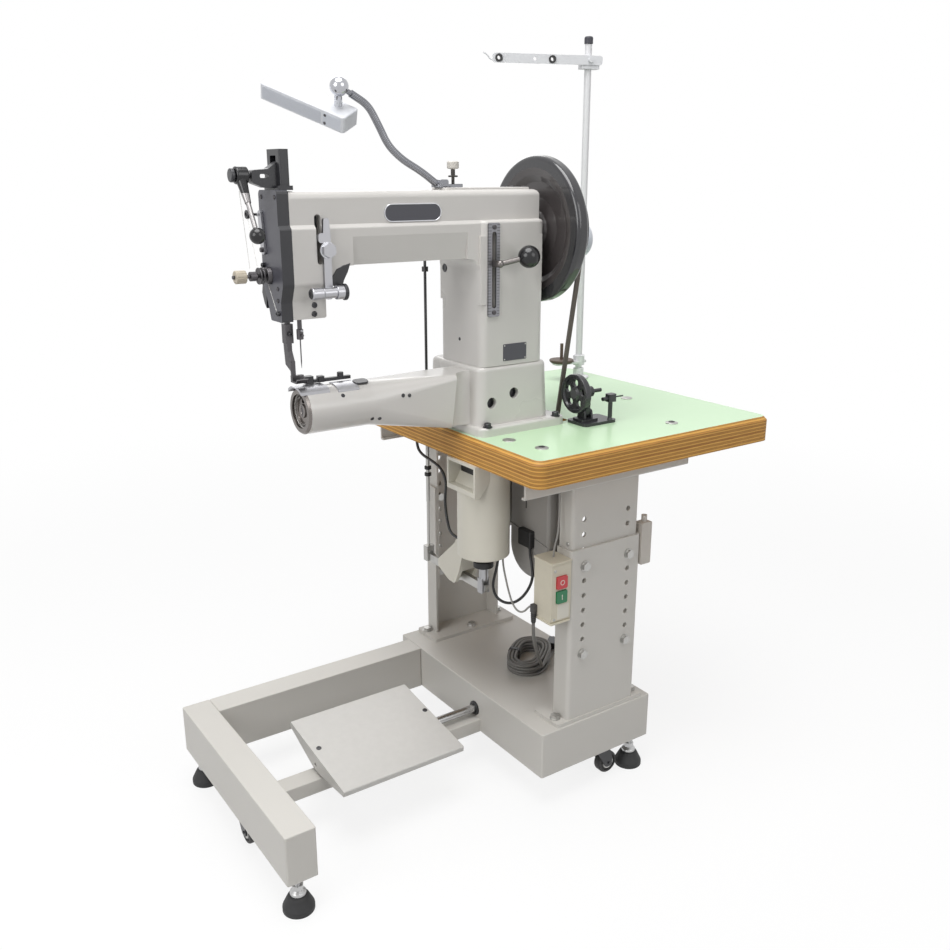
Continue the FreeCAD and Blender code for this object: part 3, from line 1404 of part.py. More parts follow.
def winder_arm():
    """Tilting arm with the spindle bearing."""
    x0 = belt_x + winder_arm_x
    x1 = x0 + winder_arm_thick
    z = winder_z
    low = table_top + winder_pivot
    arm = prism([(winder_y - 8, low - 7, 7), (winder_y + 8, low - 7, 7), (winder_y + 10, z + 10, 9),
                 (winder_y - 10, z + 10, 9)], "yz", x0, x1)
    boss = rod((x0 - 6, winder_y, z), (x1 + 8, winder_y, z), 11)
    tools = [rod((x0 - 9, winder_y, low), (x1 + 9, winder_y, low), 3 + run_gap),
             rod((x0 - 9, winder_y, z), (x1 + 30, winder_y, z), 4 + run_gap)]
    return less(join(arm, boss), *tools)


def winder_wheel():
    """Friction wheel with five windows, on the spindle that carries the bobbin."""
    z = winder_z
    wheel = turned([(-7, 0), (-7, 10, 1), (-3, 14), (-3, 31), (-7, 33), (-7, winder_wheel_r, 2),
                    (7, winder_wheel_r, 2), (7, 33), (3, 31), (3, 14), (9, 10), (9, 0)], "x",
                   (belt_x, winder_y, z))
    windows = []
    for i in range(5):
        turn = math.radians(72 * i + 20)
        y, up = winder_y + 22.5 * math.cos(turn), z + 22.5 * math.sin(turn)
        windows.append(rod((belt_x - 20, y, up), (belt_x + 9, y, up), 7.5))
    spindle = rod((belt_x, winder_y, z), (belt_x + 66, winder_y, z), 4)
    return join(less(wheel, *windows), spindle)


# Cables

lead_r = 3.0
thin_r = 2.0
cord_r = 3.5


def machine_cables():
    """Leads held at both ends: table to coil, coil to control case, coil to switch and beam to switch."""
    exit_z = coil_low + 4
    coil = tube([(-40, 124, table_low), (-40, 124, 706), (-40, 104, 692), (-40, 64, 688), (-40, 26, 680),
                 (-40, 6, 655),
                 (-40, 14, 614), (-42, 4, 576), (-53, -28, 548), (-44, -53, 546)], lead_r)
    loop = tube([(9, -112, exit_z), (9, -112, 500), (10, -100, 470), (11, -90, 440), (15, -97, 416),
                 (22, -118, 408),
                 (28, -148, 418), (36, -174, 446), (46, -184, 480), (51, -172, 508),
                 (53.5, case_y - 14, 526), (53.5, case_y - 14, 544)], lead_r)
    plug = prism([(case_y - 20, 540, 3), (case_y - 8, 540, 3), (case_y + 20, 566, 3), (case_y + 14, 576, 3),
                  (case_y, 572, 3)], "yz", case_left - 13, case_left)
    grey = tube([(14, -122, exit_z), (14, -122, 502), (12, -134, 476), (10, -150, 446), (10, -164, 424),
                 (12, switch_back + 38, 414), (17, switch_back + 25, 418), (23, switch_back + 18, 430),
                 (26, switch_back + 10, 436), (26, switch_back, 436)], thin_r)
    web = -column_face
    beam = tube([(66, web + 37, table_low - column_sheet), (66, web + 37, 700), (66, web + 35.5, 666),
                 (64, web + 33, 632), (60, web + 30, 598), (53, web + 28.5, 578), (48, web + 28, 561),
                 (48, web + 28, switch_low + switch_tall)], thin_r)
    return Part.makeCompound([coil, join(loop, plug), grey, beam])


# Power cord: a free stretch, a flat hank of loops and its plug

hank_x = 175.0
hank_y = -12.0
hank_aim = 40.0        # direction of the long loops, from +x
hank_run = 56.0
hank_r = 44.0
hank_pitch = 7.8
hank_layer = 7.6
hank_turns = 3
hank_layers = 4
lead_in = 34.0         # straight stretch before the first loop
hank_low = base_top + cord_r + 0.4
hank_top = hank_low + (hank_layers - 1) * hank_layer


def hank_point(along, across, z):
    """Place in the hank from its own long and cross directions."""
    turn = math.radians(hank_aim)
    return V(hank_x + along * math.cos(turn) - across * math.sin(turn),
             hank_y + along * math.sin(turn) + across * math.cos(turn), z)


def cord_start():
    return hank_point(-hank_run / 2 - 2 * cord_r, -hank_r, hank_top)


def power_cord():
    """Free stretch from the gland on the switch down to the first loop."""
    start = V(switch_left - gland_out, switch_back - 6, gland_low)
    land = cord_start()
    turn = math.radians(hank_aim)
    before = land - V(math.cos(turn), math.sin(turn), 0) * lead_in
    points = [start, start - Z * 24, V(36, -205, 348), V(70, -171, 302), V(103, -138, 262),
              V(130, -110, 234),
              before, land]
    return tube([(p.x, p.y, p.z) for p in points], cord_r)


def hank_edges():
    """Loops spiral in and out, layer by layer from the top, stepping down along an inner or outer run."""
    half = hank_run / 2
    edges = [Part.LineSegment(cord_start(), hank_point(half, -hank_r, hank_top)).toShape()]
    across, r, z = -hank_r, hank_r, hank_top
    for layer in range(hank_layers):
        step = -hank_pitch / 2 if layer % 2 == 0 else hank_pitch / 2
        for k in range(2 * hank_turns):
            side = 1 if k % 2 == 0 else -1
            far = across + side * 2 * r
            bend = hank_point(side * (half + r), (across + far) / 2, z)
            edges.append(Part.Arc(hank_point(side * half, across, z), bend,
                                  hank_point(side * half, far, z)).toShape())
            across = far
            last = k == 2 * hank_turns - 1
            if not last:
                edges.append(Part.LineSegment(hank_point(side * half, across, z),
                                              hank_point(-side * half, across, z)).toShape())
                r += step
        if layer < hank_layers - 1:
            edges += step_down(-half, half, across, z)
            z -= hank_layer
    edges.append(Part.LineSegment(hank_point(-half, across, z), hank_point(plug_at, across, z)).toShape())
    return edges


def step_down(start, end, across, z):
    """Two arcs in an upright plane that lower a run by one layer."""
    run, drop = end - start, hank_layer
    bend = (run * run + drop * drop) / (4 * drop)
    angle = math.asin(run / 2 / bend) / 2
    dip = bend * (1 - math.cos(angle))
    reach = bend * math.sin(angle)
    middle = hank_point((start + end) / 2, across, z - drop / 2)
    first = Part.Arc(hank_point(start, across, z), hank_point(start + reach, across, z - dip), middle)
    second = Part.Arc(middle, hank_point(end - reach, across, z - drop + dip),
                      hank_point(end, across, z - drop))
    return [first.toShape(), second.toShape()]


def least_gap(path, r):
    """Smallest clear distance of a wound tube to itself, measured on points along its centre line."""
    points = path.discretize(Distance=2.5)
    apart = int(4 * r / 2.5) + 6
    best = 1e9
    for i, p in enumerate(points):
        for q in points[i + apart:]:
            d = (p.x - q.x) ** 2 + (p.y - q.y) ** 2 + (p.z - q.z) ** 2
            best = min(best, d)
    return math.sqrt(best) - 2 * r


plug_at = hank_run / 2 + 36
plug_long = 36.0
plug_half = 16.0
plug_tall = 22.0


def cord_hank():
    path = Part.Wire(hank_edges())
    start = cord_start()
    ring = Part.Wire(Part.makeCircle(cord_r, start, hank_point(0, 0, 0) - hank_point(-1, 0, 0)))
    solid = path.makePipeShell([ring], True, False)
    share = solid.Volume / (math.pi * cord_r ** 2 * path.Length)
    print("hank length", round(path.Length), "volume share", round(share, 4), "least gap",
          round(least_gap(path, cord_r), 2))
    return solid


def cord_plug():
    """Moulded plug with two round pins, flat on the base beside the hank."""
    low = -cord_r - 0.1
    body = prism([(0, -8, 2), (12, -plug_half, 4), (plug_long, -plug_half, 3), (plug_long, plug_half, 3),
                  (12, plug_half, 4), (0, 8, 2)], "xy", low, low + plug_tall)
    pins = [rod((plug_long - 1, d, low + plug_tall / 2), (plug_long + 19, d, low + plug_tall / 2), 2.3)
            for d in (-9.5, 9.5)]
    solid = join(body, *pins)
    solid.rotate(V(0, 0, 0), Z, hank_aim)
    solid.translate(hank_point(plug_at, -hank_r, hank_low))
    return solid


def build():
    castors = castor_places()
    column, upright = front_column(), front_upright()
    return {
        "base_box": base_box(),
        "rear_rail": rear_rail(),
        "end_rail": end_rail(),
        "treadle_rail": treadle_rail(),
        "levelling_feet": levelling_feet(),
        "castor_fork_end": castor_fork(castors["end"], castor_end_aim),
        "castor_fork_front": castor_fork(castors["front"]),
        "castor_fork_rear": castor_fork(castors["rear"]),
        "castor_wheel_end": castor_wheel(castors["end"], castor_end_aim),
        "castor_wheel_front": castor_wheel(castors["front"]),
        "castor_wheel_rear": castor_wheel(castors["rear"]),
        "front_column": column,
        "rear_column": mirrored(column, Y),
        "front_upright": upright,
        "rear_upright": mirrored(upright, Y),
        "stand_bolts": stand_bolts(),
        "tabletop": tabletop(),
        "treadle": treadle(),
        "switch_box": switch_box(),
        "stop_button": button(stop_z),
        "start_button": button(start_z),
        "solenoid_body": solenoid_body(),
        "solenoid_plunger": solenoid_plunger(),
        "lift_lever": lift_lever(),
        "lift_rod": lift_rod(),
        "motor": motor(),
        "motor_pulley": motor_pulley(),
        "v_belt": v_belt(),
        "handwheel": handwheel(),
        "synchroniser": synchroniser(),
        "bed_casting": bed_casting(),
        "arm_casting": arm_casting(),
        "top_cover": top_cover(),
        "face_cover": face_cover(),
        "lifter_bracket": lifter_bracket(),
        "hand_lifter": hand_lifter(),
        "needle_bar": needle_bar(),
        "presser_bar": presser_bar(),
        "take_up_lever": take_up_lever(),
        "tension_unit": tension_unit(),
        "tension_nut": tension_nut(),
        "foot_link": foot_link(),
        "stitch_plate": stitch_plate(),
        "stitch_lever": stitch_lever(),
        "hook_ring": hook_ring(),
        "shuttle": shuttle(),
        "throat_plate": throat_plate(),
        "slide_plate": slide_plate(),
        "edge_guide": edge_guide(),
        "lamp_neck": lamp_neck(),
        "lamp_head": lamp_placed(),
        "thread_stand": thread_stand(),
        "thread_arm": thread_arm(),
        "winder_frame": winder_frame(),
        "winder_arm": winder_arm(),
        "winder_wheel": winder_wheel(),
        "machine_cables": machine_cables(),
        "power_cord": power_cord(),
        "cord_hank": cord_hank(),
        "cord_plug": cord_plug(),
    }


os.makedirs("parts", exist_ok=True)
for node, shape in build().items():
    shape.exportStep("parts/" + node + ".step")
    box = shape.BoundBox
    print(node, "solids", len(shape.Solids), "valid", shape.isValid(), "volume", round(shape.Volume),
          "x", round(box.XMin), round(box.XMax), "y", round(box.YMin), round(box.YMax), "z",
          round(box.ZMin), round(box.ZMax))
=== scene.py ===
import math

import bmesh
import bpy
from mathutils import Matrix, Vector


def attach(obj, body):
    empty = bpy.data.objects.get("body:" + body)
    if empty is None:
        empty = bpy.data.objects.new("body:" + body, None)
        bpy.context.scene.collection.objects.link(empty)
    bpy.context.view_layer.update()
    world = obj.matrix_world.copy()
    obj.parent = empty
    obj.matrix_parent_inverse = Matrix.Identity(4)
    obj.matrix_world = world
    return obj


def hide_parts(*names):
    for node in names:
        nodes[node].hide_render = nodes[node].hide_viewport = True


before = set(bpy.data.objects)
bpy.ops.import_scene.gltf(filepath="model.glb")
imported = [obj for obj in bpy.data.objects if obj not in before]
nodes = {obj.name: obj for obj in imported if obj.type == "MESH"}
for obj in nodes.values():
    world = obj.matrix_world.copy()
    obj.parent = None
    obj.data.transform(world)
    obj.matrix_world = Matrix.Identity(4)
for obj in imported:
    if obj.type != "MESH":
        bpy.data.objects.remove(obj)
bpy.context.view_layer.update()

MM = 0.001
LEFT, RIGHT = (-1, 0, 0), (1, 0, 0)
FRONT, BACK = (0, -1, 0), (0, 1, 0)
UP, DOWN = (0, 0, 1), (0, 0, -1)

# Places on the machine, in millimetres, as in the part's source
HEAD_Y = -62.0                      # middle of needle bar, hook and handwheel
TUBE_Z = 868.0                      # axis of the cylinder arm
COVER_FACE = -433.0                 # left side of the face cover
NOSE_FRONT = -96.0
BAND_FRONT = -102.0                 # band of the arm that carries the badge
BEAD_FRONT = -108.0                 # bead below that band
POST_FRONT = -114.0
POST_LEFT = -36.0
LINK_FRONT = -114.5
LINK_SLOT_FLOOR = -86.0
FLANGE_TOP = 801                    # feet of the pedestal
TOP_COVER = 1249
WHEEL_HUB = (123, -62, 1167)
WINDER_HUB = (173, -152.6, 846)
LIFTER_BALL = (-480, -128, 1178)
STITCH_BALL = (47, -152, 1124)
LAMP_BALL = (-295, -69, 1412)
THREAD_CLAMP = (492, 212, 1522)     # where the thread arm grips its pole
SWITCH_FACE = -273
BUTTON_FACE = -277
CASE_SIDE = 60                      # left side of the motor's control case
TREADLE_Y, TREADLE_Z = -38, 127     # shaft of the treadle
TREADLE_TILT = math.radians(8.2)
CORD_EXIT = (17, -224, 406)         # below the gland of the switch
CASTORS = (("end", (-534, -28, 28), RIGHT), ("front", (208, -248, 28), BACK),
           ("rear", (208, 248, 28), BACK))     # name, hub and axle


# Camera, shader values and studio

def photo_camera():
    """Camera solved on the stand's tubes: place, aim and lens of the photograph."""
    dip, turn = 17.1, -34.7
    data = bpy.data.cameras.new("photo_camera")
    data.sensor_width = 36.0
    data.lens = 36.84
    camera = bpy.data.objects.new("photo_camera", data)
    camera.location = (-1.0994, -1.6289, 1.2691)
    camera.rotation_euler = (math.radians(90 - dip), 0, math.radians(turn))
    bpy.context.scene.collection.objects.link(camera)
    bpy.context.scene.camera = camera


class Val:
    """One shader value; arithmetic on it adds the Math nodes."""

    def __init__(self, finish, socket):
        self.finish, self.socket = finish, socket

    def sum_of(self, kind, other, swap=False):
        pair = (other, self) if swap else (self, other)
        return self.finish.add("ShaderNodeMath", {"operation": kind}, {0: pair[0], 1: pair[1]})

    def __add__(self, other):
        return self.sum_of("ADD", other)

    def __sub__(self, other):
        return self.sum_of("SUBTRACT", other)

    def __rsub__(self, other):
        return self.sum_of("SUBTRACT", other, True)

    def __mul__(self, other):
        return self.sum_of("MULTIPLY", other)

    def __truediv__(self, other):
        return self.sum_of("DIVIDE", other)

    def __mod__(self, other):
        return self.sum_of("FLOORED_MODULO", other)

    def __gt__(self, other):
        return self.sum_of("GREATER_THAN", other)

    def __lt__(self, other):
        return self.sum_of("LESS_THAN", other)

    def __abs__(self):
        return self.sum_of("ABSOLUTE", 0.0)

    def __floor__(self):
        return self.sum_of("FLOOR", 0.0)

    __radd__ = __add__
    __rmul__ = __mul__


class Finish:
    """A material and the few ways its nodes are made."""

    def __init__(self, name, tree=None):
        if tree is None:
            self.material = bpy.data.materials.new(name)
            self.material.use_nodes = True
            tree = self.material.node_tree
        self.tree = tree
        self.shader = tree.nodes.get("Principled BSDF")

    def add(self, kind, settings=None, sockets=None, out=0):
        """One node: its settings first, then the values or links of its sockets."""
        node = self.tree.nodes.new(kind)
        for key, value in (settings or {}).items():
            setattr(node, key, value)
        for key, value in (sockets or {}).items():
            self.feed(node.inputs[key], value)
        return Val(self, node.outputs[out])

    def feed(self, socket, value):
        if isinstance(value, Val):
            self.tree.links.new(value.socket, socket)
        else:
            socket.default_value = value

    def put(self, socket, value):
        self.feed(self.shader.inputs[socket], value)

    def place(self):
        return self.add("ShaderNodeTexCoord", out="Object")

    def facing(self, axis):
        """How far the surface faces along an axis, from -1 to 1."""
        normal = self.add("ShaderNodeTexCoord", out="Normal")
        return self.add("ShaderNodeSeparateXYZ", None, {0: normal}, axis)

    def along(self, axis):
        """Place along an axis, in metres."""
        return self.add("ShaderNodeSeparateXYZ", None, {0: self.place()}, axis)

    def stretched(self, x, y, z):
        return self.add("ShaderNodeVectorMath", {"operation": "MULTIPLY"},
                        {0: self.place(), 1: (x, y, z)})

    def grain(self, scale, detail=3.0, rough=0.55, at=None):
        at = self.place() if at is None else at
        return self.add("ShaderNodeTexNoise", None,
                        {"Vector": at, "Scale": scale, "Detail": detail, "Roughness": rough})

    def ramp(self, value, low, high):
        return self.add("ShaderNodeMapRange", {"interpolation_type": "SMOOTHSTEP"},
                        {"Value": value, "From Min": low, "From Max": high})

    def near(self, centre, reach):
        """1 within reach of a point in millimetres, else 0."""
        gap = self.add("ShaderNodeVectorMath", {"operation": "DISTANCE"},
                       {0: self.place(), 1: [c * MM for c in centre]}, "Value")
        return gap < reach * MM

    def blend(self, first, second, by):
        return self.add("ShaderNodeMix", {"data_type": "RGBA"}, {0: by, 6: first, 7: second}, 2)

    def relief(self, height, strength, depth):
        self.put("Normal", self.add("ShaderNodeBump", None,
                                    {"Strength": strength, "Distance": depth, "Height": height}))


def tone(r, g, b):
    """Screen colour as the linear colour a shader takes."""
    shades = []
    for c in (r / 255, g / 255, b / 255):
        shades.append(c / 12.92 if c <= 0.04045 else ((c + 0.055) / 1.055) ** 2.4)
    return (*shades, 1.0)


def deeper(colour, share):
    return (colour[0] * share, colour[1] * share, colour[2] * share, 1.0)


def seen_rays(finish):
    """1 for rays that see the surroundings straight, in a gloss or through glass."""
    seen = finish.add("ShaderNodeLightPath", out="Is Camera Ray")
    seen = seen + finish.add("ShaderNodeLightPath", out="Is Glossy Ray")
    return seen + finish.add("ShaderNodeLightPath", out="Is Transmission Ray")


def surroundings():
    """White to look at, and a faint even light on the machine."""
    world = bpy.context.scene.world or bpy.data.worlds.new("studio")
    bpy.context.scene.world = world
    world.use_nodes = True
    air = Finish("studio", world.node_tree)
    sky = world.node_tree.nodes["Background"]
    sky.inputs["Color"].default_value = (1, 1, 1, 1)
    air.feed(sky.inputs["Strength"], 0.19 + 0.81 * seen_rays(air))


def studio_floor():
    """Pale paper that keeps the shadow near the machine and turns white far from it."""
    half = 9
    mesh = bpy.data.meshes.new("studio_floor")
    mesh.from_pydata([(-half, -half, 0), (half, -half, 0), (half, half, 0), (-half, half, 0)], [],
                     [(0, 1, 2, 3)])
    floor = bpy.data.objects.new("studio_floor", mesh)
    bpy.context.scene.collection.objects.link(floor)
    paper = Finish("studio_paper")
    seen = seen_rays(paper)
    reach = paper.add("ShaderNodeVectorMath", {"operation": "LENGTH"}, {0: paper.place()}, "Value")
    far = paper.ramp(reach, 1.0, 3.4)
    paper.put("Base Color", paper.blend((0.60, 0.60, 0.60, 1), (0.96, 0.96, 0.96, 1), seen))
    paper.put("Roughness", 0.9)
    glow = paper.add("ShaderNodeEmission", None, {"Color": (1, 1, 1, 1), "Strength": 1.0})
    body = Val(paper, paper.shader.outputs[0])
    mixed = paper.add("ShaderNodeMixShader", None,
                      {0: seen * (0.84 + far * 0.16), 1: body, 2: glow})
    paper.feed(paper.tree.nodes["Material Output"].inputs["Surface"], mixed)
    mesh.materials.append(paper.material)


def studio_lamps():
    """Soft round lamps at a plain level, the widest one overhead."""
    for name, spot, aim, size, power in (
            ("overhead_lamp", (-0.7, -0.5, 4.0), (0, 0, 0.6), 2.8, 108),
            ("left_lamp", (-3.4, -0.9, 2.3), (0, 0, 0.7), 2.2, 44),
            ("front_lamp", (0.6, -3.4, 2.4), (0, 0, 0.7), 2.2, 24),
            ("back_lamp", (1.2, 3.0, 3.0), (0, 0, 0.9), 2.2, 24)):
        data = bpy.data.lights.new(name, "AREA")
        data.shape = "DISK"
        data.size = size
        data.energy = power
        lamp = bpy.data.objects.new(name, data)
        lamp.location = spot
        lamp.rotation_euler = (Vector(aim) - Vector(spot)).to_track_quat("-Z", "Y").to_euler()
        bpy.context.scene.collection.objects.link(lamp)
    bpy.context.scene.view_settings.view_transform = "Standard"


# Finishes

def enamel(name, colour, rough, peel, depth, coat=0.0, cast=0.0):
    """Sprayed paint: fine peel, faint clouds, specks of dirt and, on castings, slow waves."""
    f = Finish(name)
    cloud = f.grain(5, 3)
    fine = f.grain(peel, 2)
    dirt = f.ramp(f.grain(140, 6, 0.7), 0.66, 0.80)
    f.put("Base Color", f.blend(colour, deeper(colour, 0.86), cloud * 0.34 + dirt * 0.30))
    f.put("Roughness", rough + cloud * 0.08 + dirt * 0.10)
    f.put("Coat Weight", coat)
    f.put("Coat Roughness", 0.08)
    height = fine if not cast else fine + f.grain(18, 2) * cast
    f.relief(height, 0.20, depth)
    return f.material


def plastic(name, colour, rough, clear=0.0):
    """Moulded plastic with a fine spark texture and slightly polished high spots."""
    f = Finish(name)
    spark = f.grain(900, 3)
    cloud = f.grain(20, 3)
    f.put("Base Color", f.blend(colour, deeper(colour, 0.86), cloud * 0.5))
    f.put("Roughness", rough + spark * 0.12 + cloud * 0.06)
    f.put("Coat Weight", clear)
    f.relief(spark, 0.16, 0.0003)
    return f.material


def metal(name, colour, rough, lines=(30, 30, 900), line_depth=0.00012, tarnish=0.3):
    """Bare or plated metal with machining lines along one direction and faint tarnish."""
    f = Finish(name)
    mark = f.grain(1.0, 3, 0.6, f.stretched(*lines))
    stain = f.ramp(f.grain(60, 5, 0.65), 0.45, 0.85)
    f.put("Base Color", f.blend(colour, deeper(colour, 0.62), stain * tarnish))
    f.put("Metallic", 1.0)
    f.put("Roughness", rough + mark * 0.14 + stain * 0.10)
    f.relief(mark, 0.12, line_depth)
    return f.material


def zoned(name, base, *zones, fine=700, coat=0.0):
    """Several finishes on one piece: base (colour, metallic, roughness), then zones with masks."""
    f = Finish(name)
    colour, metallic, rough = base
    wear = f.grain(70, 4)
    shade = f.blend(colour, deeper(colour, 0.80), wear * 0.45)
    shine = rough
    for zone_colour, zone_metal, zone_rough, mask_of in zones:
        mask = mask_of(f)
        worn = f.blend(zone_colour, deeper(zone_colour, 0.78), wear * 0.5)
        shade = f.blend(shade, worn, mask)
        shine = shine + mask * (zone_rough - shine)
        if metallic != zone_metal:
            metallic = metallic + mask * (zone_metal - metallic)
    f.put("Base Color", shade)
    f.put("Metallic", metallic)
    f.put("Roughness", shine + wear * 0.08)
    f.put("Coat Weight", coat)
    f.relief(f.grain(fine, 3), 0.12, 0.0003)
    return f.material


def rubber(name, colour, rough):
    """Rubber or soft sheath with a fine skin and a little dust."""
    f = Finish(name)
    fine = f.grain(1100, 4)
    dust = f.ramp(f.grain(45, 5, 0.65), 0.50, 0.85)
    f.put("Base Color", f.blend(colour, tone(120, 116, 108), dust * 0.16))
    f.put("Roughness", rough + dust * 0.18)
    f.relief(fine, 0.25, 0.0003)
    return f.material


def mint_table():
    """Mint laminate on top, bare layered plywood on the bevel, edge and underside."""
    ply = 0.0037
    f = Finish("mint_laminate_on_plywood")
    top = f.ramp(f.facing("Z"), 0.90, 0.97)
    layer = (f.along("Z") + f.grain(7, 3) * 0.0016) / ply
    level = math.floor(layer)
    odd = (level % 2.0) * 0.5
    own = f.add("ShaderNodeTexWhiteNoise", {"noise_dimensions": "1D"}, {"W": level})
    streak = f.grain(1.0, 5, 0.6, f.stretched(26, 26, 1500))
    glue = f.ramp(abs(layer % 1.0 - 0.5), 0.38, 0.48)
    wood = f.blend(tone(222, 170, 84), tone(140, 86, 30),
                   odd + own * 0.3 + (streak - 0.5) * 1.1)
    wood = f.blend(wood, tone(86, 48, 18), glue * 0.8)
    fleck = f.grain(420, 2)
    haze = f.grain(5, 3)
    mint = f.blend(tone(202, 230, 194), tone(186, 218, 178), fleck * 0.25 + haze * 0.45)
    f.put("Base Color", f.blend(wood, mint, top))
    f.put("Roughness", 0.56 - top * 0.28 + streak * 0.10)
    f.put("Coat Weight", top * 0.15)
    f.relief((streak * 0.5 - glue) * (1 - top) + fleck * top * 0.25, 0.30, 0.0004)
    return f.material


def stitch_scale():
    """Ground steel plate with plain engraved graduations beside the slot."""
    tick_step = 0.0055
    f = Finish("graduated_steel")
    z, x = f.along("Z"), f.along("X")
    mark = f.grain(1.0, 3, 0.6, f.stretched(900, 60, 40))
    side = (x < -0.0155) + (x > -0.0025)
    tick = (abs((z / tick_step) % 1.0 - 0.5) > 0.43) * side
    steel = f.blend(tone(150, 150, 154), tone(98, 98, 104), mark * 0.6)
    f.put("Base Color", f.blend(steel, tone(40, 40, 44), tick * 0.85))
    f.put("Metallic", 1.0)
    f.put("Roughness", 0.32 + mark * 0.14 + tick * 0.2)
    f.relief(mark * 0.2 - tick, 0.35, 0.0002)
    return f.material


def ribbed_neck():
    """Plated flexible tube with close ribs, a dark screw at its foot and a pale knob on that."""
    rib_step = 0.0032
    f = Finish("plated_ribbed_tube")
    x, z = f.along("X"), f.along("Z")
    tube = (x < -0.092)
    rib = abs(((z * 0.75 - x * 0.66) / rib_step) % 1.0 - 0.5) * 2.0 * tube
    smut = f.grain(80, 4)
    # Darker in the grooves between the ribs: painted shade; smut is random dirt
    plated = f.blend(tone(152, 153, 158), tone(52, 52, 56), rib * 0.35 + smut * 0.25)
    screw = (x > -0.077) * (z > 1.2545)
    knob = screw * (z > 1.2805)
    shade = f.blend(f.blend(plated, tone(70, 68, 66), screw), tone(206, 202, 194), knob)
    f.put("Base Color", shade)
    f.put("Metallic", 1 - knob)
    f.put("Roughness", 0.16 + rib * 0.12 + smut * 0.08 + knob * 0.2)
    f.relief(1 - rib, 0.3, 0.0005)
    return f.material


def lamp_glass():
    """Milky pebbled diffuser of the work lamp."""
    f = Finish("milky_diffuser")
    pebble = f.grain(1.0, 1, 0.5, f.stretched(700, 700, 700))
    f.put("Base Color", f.blend(tone(208, 211, 218), tone(192, 196, 204), pebble))
    f.put("Roughness", 0.35 + pebble * 0.1)
    f.relief(pebble, 0.2, 0.0003)
    return f.material


photo_camera()
surroundings()
studio_floor()
studio_lamps()

HEAD = enamel("warm_grey_head_enamel", tone(210, 207, 203), 0.24, 520, 0.0006, 0.35, 1.4)
STAND = enamel("light_grey_stand_paint", tone(208, 205, 199), 0.40, 900, 0.0004)
COIL = enamel("off_white_coil_paint", tone(214, 210, 197), 0.34, 700, 0.0004, 0.15)
MOTOR = enamel("grey_motor_paint", tone(150, 147, 143), 0.42, 800, 0.0004)
BLACK = enamel("black_part_enamel", tone(38, 38, 42), 0.34, 700, 0.0004, 0.2)
BADGE = enamel("dark_badge_enamel", tone(64, 64, 72), 0.26, 600, 0.0002, 0.3)
STEEL = metal("ground_steel", tone(178, 178, 182), 0.28)
HOOK_STEEL = metal("oiled_hook_steel", tone(124, 119, 116), 0.20, (60, 500, 500), 0.00012, 0.5)
DARK_STEEL = metal("blued_steel", tone(92, 90, 92), 0.34)
CHROME = metal("bright_chrome", tone(206, 207, 211), 0.10, (400, 400, 400), 0.00006, 0.2)
ZINC = metal("zinc_plate", tone(182, 181, 178), 0.30, (220, 220, 220), 0.00015, 0.4)
CREAM = plastic("cream_case_plastic", tone(216, 209, 190), 0.42)
WHITE = plastic("white_cap_plastic", tone(214, 218, 226), 0.34)
RED = plastic("red_button_plastic", tone(206, 58, 64), 0.30, 0.3)
GREEN = plastic("green_button_plastic", tone(22, 120, 74), 0.30, 0.3)
IVORY = plastic("ivory_knob_plastic", tone(196, 186, 168), 0.38)
BLACK_PLASTIC = plastic("black_plastic", tone(30, 30, 31), 0.42)
PALE = plastic("pale_label_film", tone(226, 222, 210), 0.35)
BELT = rubber("belt_rubber", tone(92, 84, 78), 0.55)
GREY_PVC = rubber("grey_cord_sheath", tone(112, 110, 107), 0.5)
BLACK_PVC = rubber("black_lead_sheath", tone(30, 30, 31), 0.42)
PALE_PVC = rubber("pale_lead_sheath", tone(150, 148, 144), 0.48)
THREAD = rubber("white_thread", tone(238, 237, 232), 0.7)


# Finishes of the carried-over pieces; each zone is colour, metallic, roughness and where it is

def dress(material, *names):
    for name in names:
        for slot in nodes[name].material_slots:
            slot.material = material


def dress_stand():
    """Rails, columns, treadle, feet, castors, table and switch."""
    dress(STAND, "base_box", "rear_rail", "end_rail", "treadle_rail", "front_column",
          "rear_column", "front_upright", "rear_upright")
    bright = (tone(190, 190, 190), 1.0, 0.24)
    dress(zoned("painted_treadle_and_shaft", (tone(206, 204, 200), 0.0, 0.40),
                (*bright, lambda f: f.along("X") > -0.1115)), "treadle")
    dress(zoned("foot_pad_and_stud", bright,
                (tone(46, 46, 47), 0.0, 0.6, lambda f: f.along("Z") < 0.0345)), "levelling_feet")
    dress(BLACK, "castor_fork_end", "castor_fork_front", "castor_fork_rear", "cord_plug")
    for end, hub, _ in CASTORS:
        dress(zoned("castor_tyre_" + end, (tone(58, 57, 57), 0.0, 0.55),
                    (tone(150, 148, 146), 0.0, 0.4, lambda f, hub=hub: f.near(hub, 16.0))),
              "castor_wheel_" + end)
    dress(ZINC, "stand_bolts")
    dress(mint_table(), "tabletop")
    dress(zoned("switch_case_and_gland", (tone(216, 209, 190), 0.0, 0.42),
                (tone(204, 198, 190), 0.0, 0.42, lambda f: f.along("X") > 0.2575),
                (tone(74, 73, 72), 0.0, 0.55, lambda f: f.along("X") < 0.0219)),
          "switch_box")
    dress(RED, "stop_button")
    dress(GREEN, "start_button")


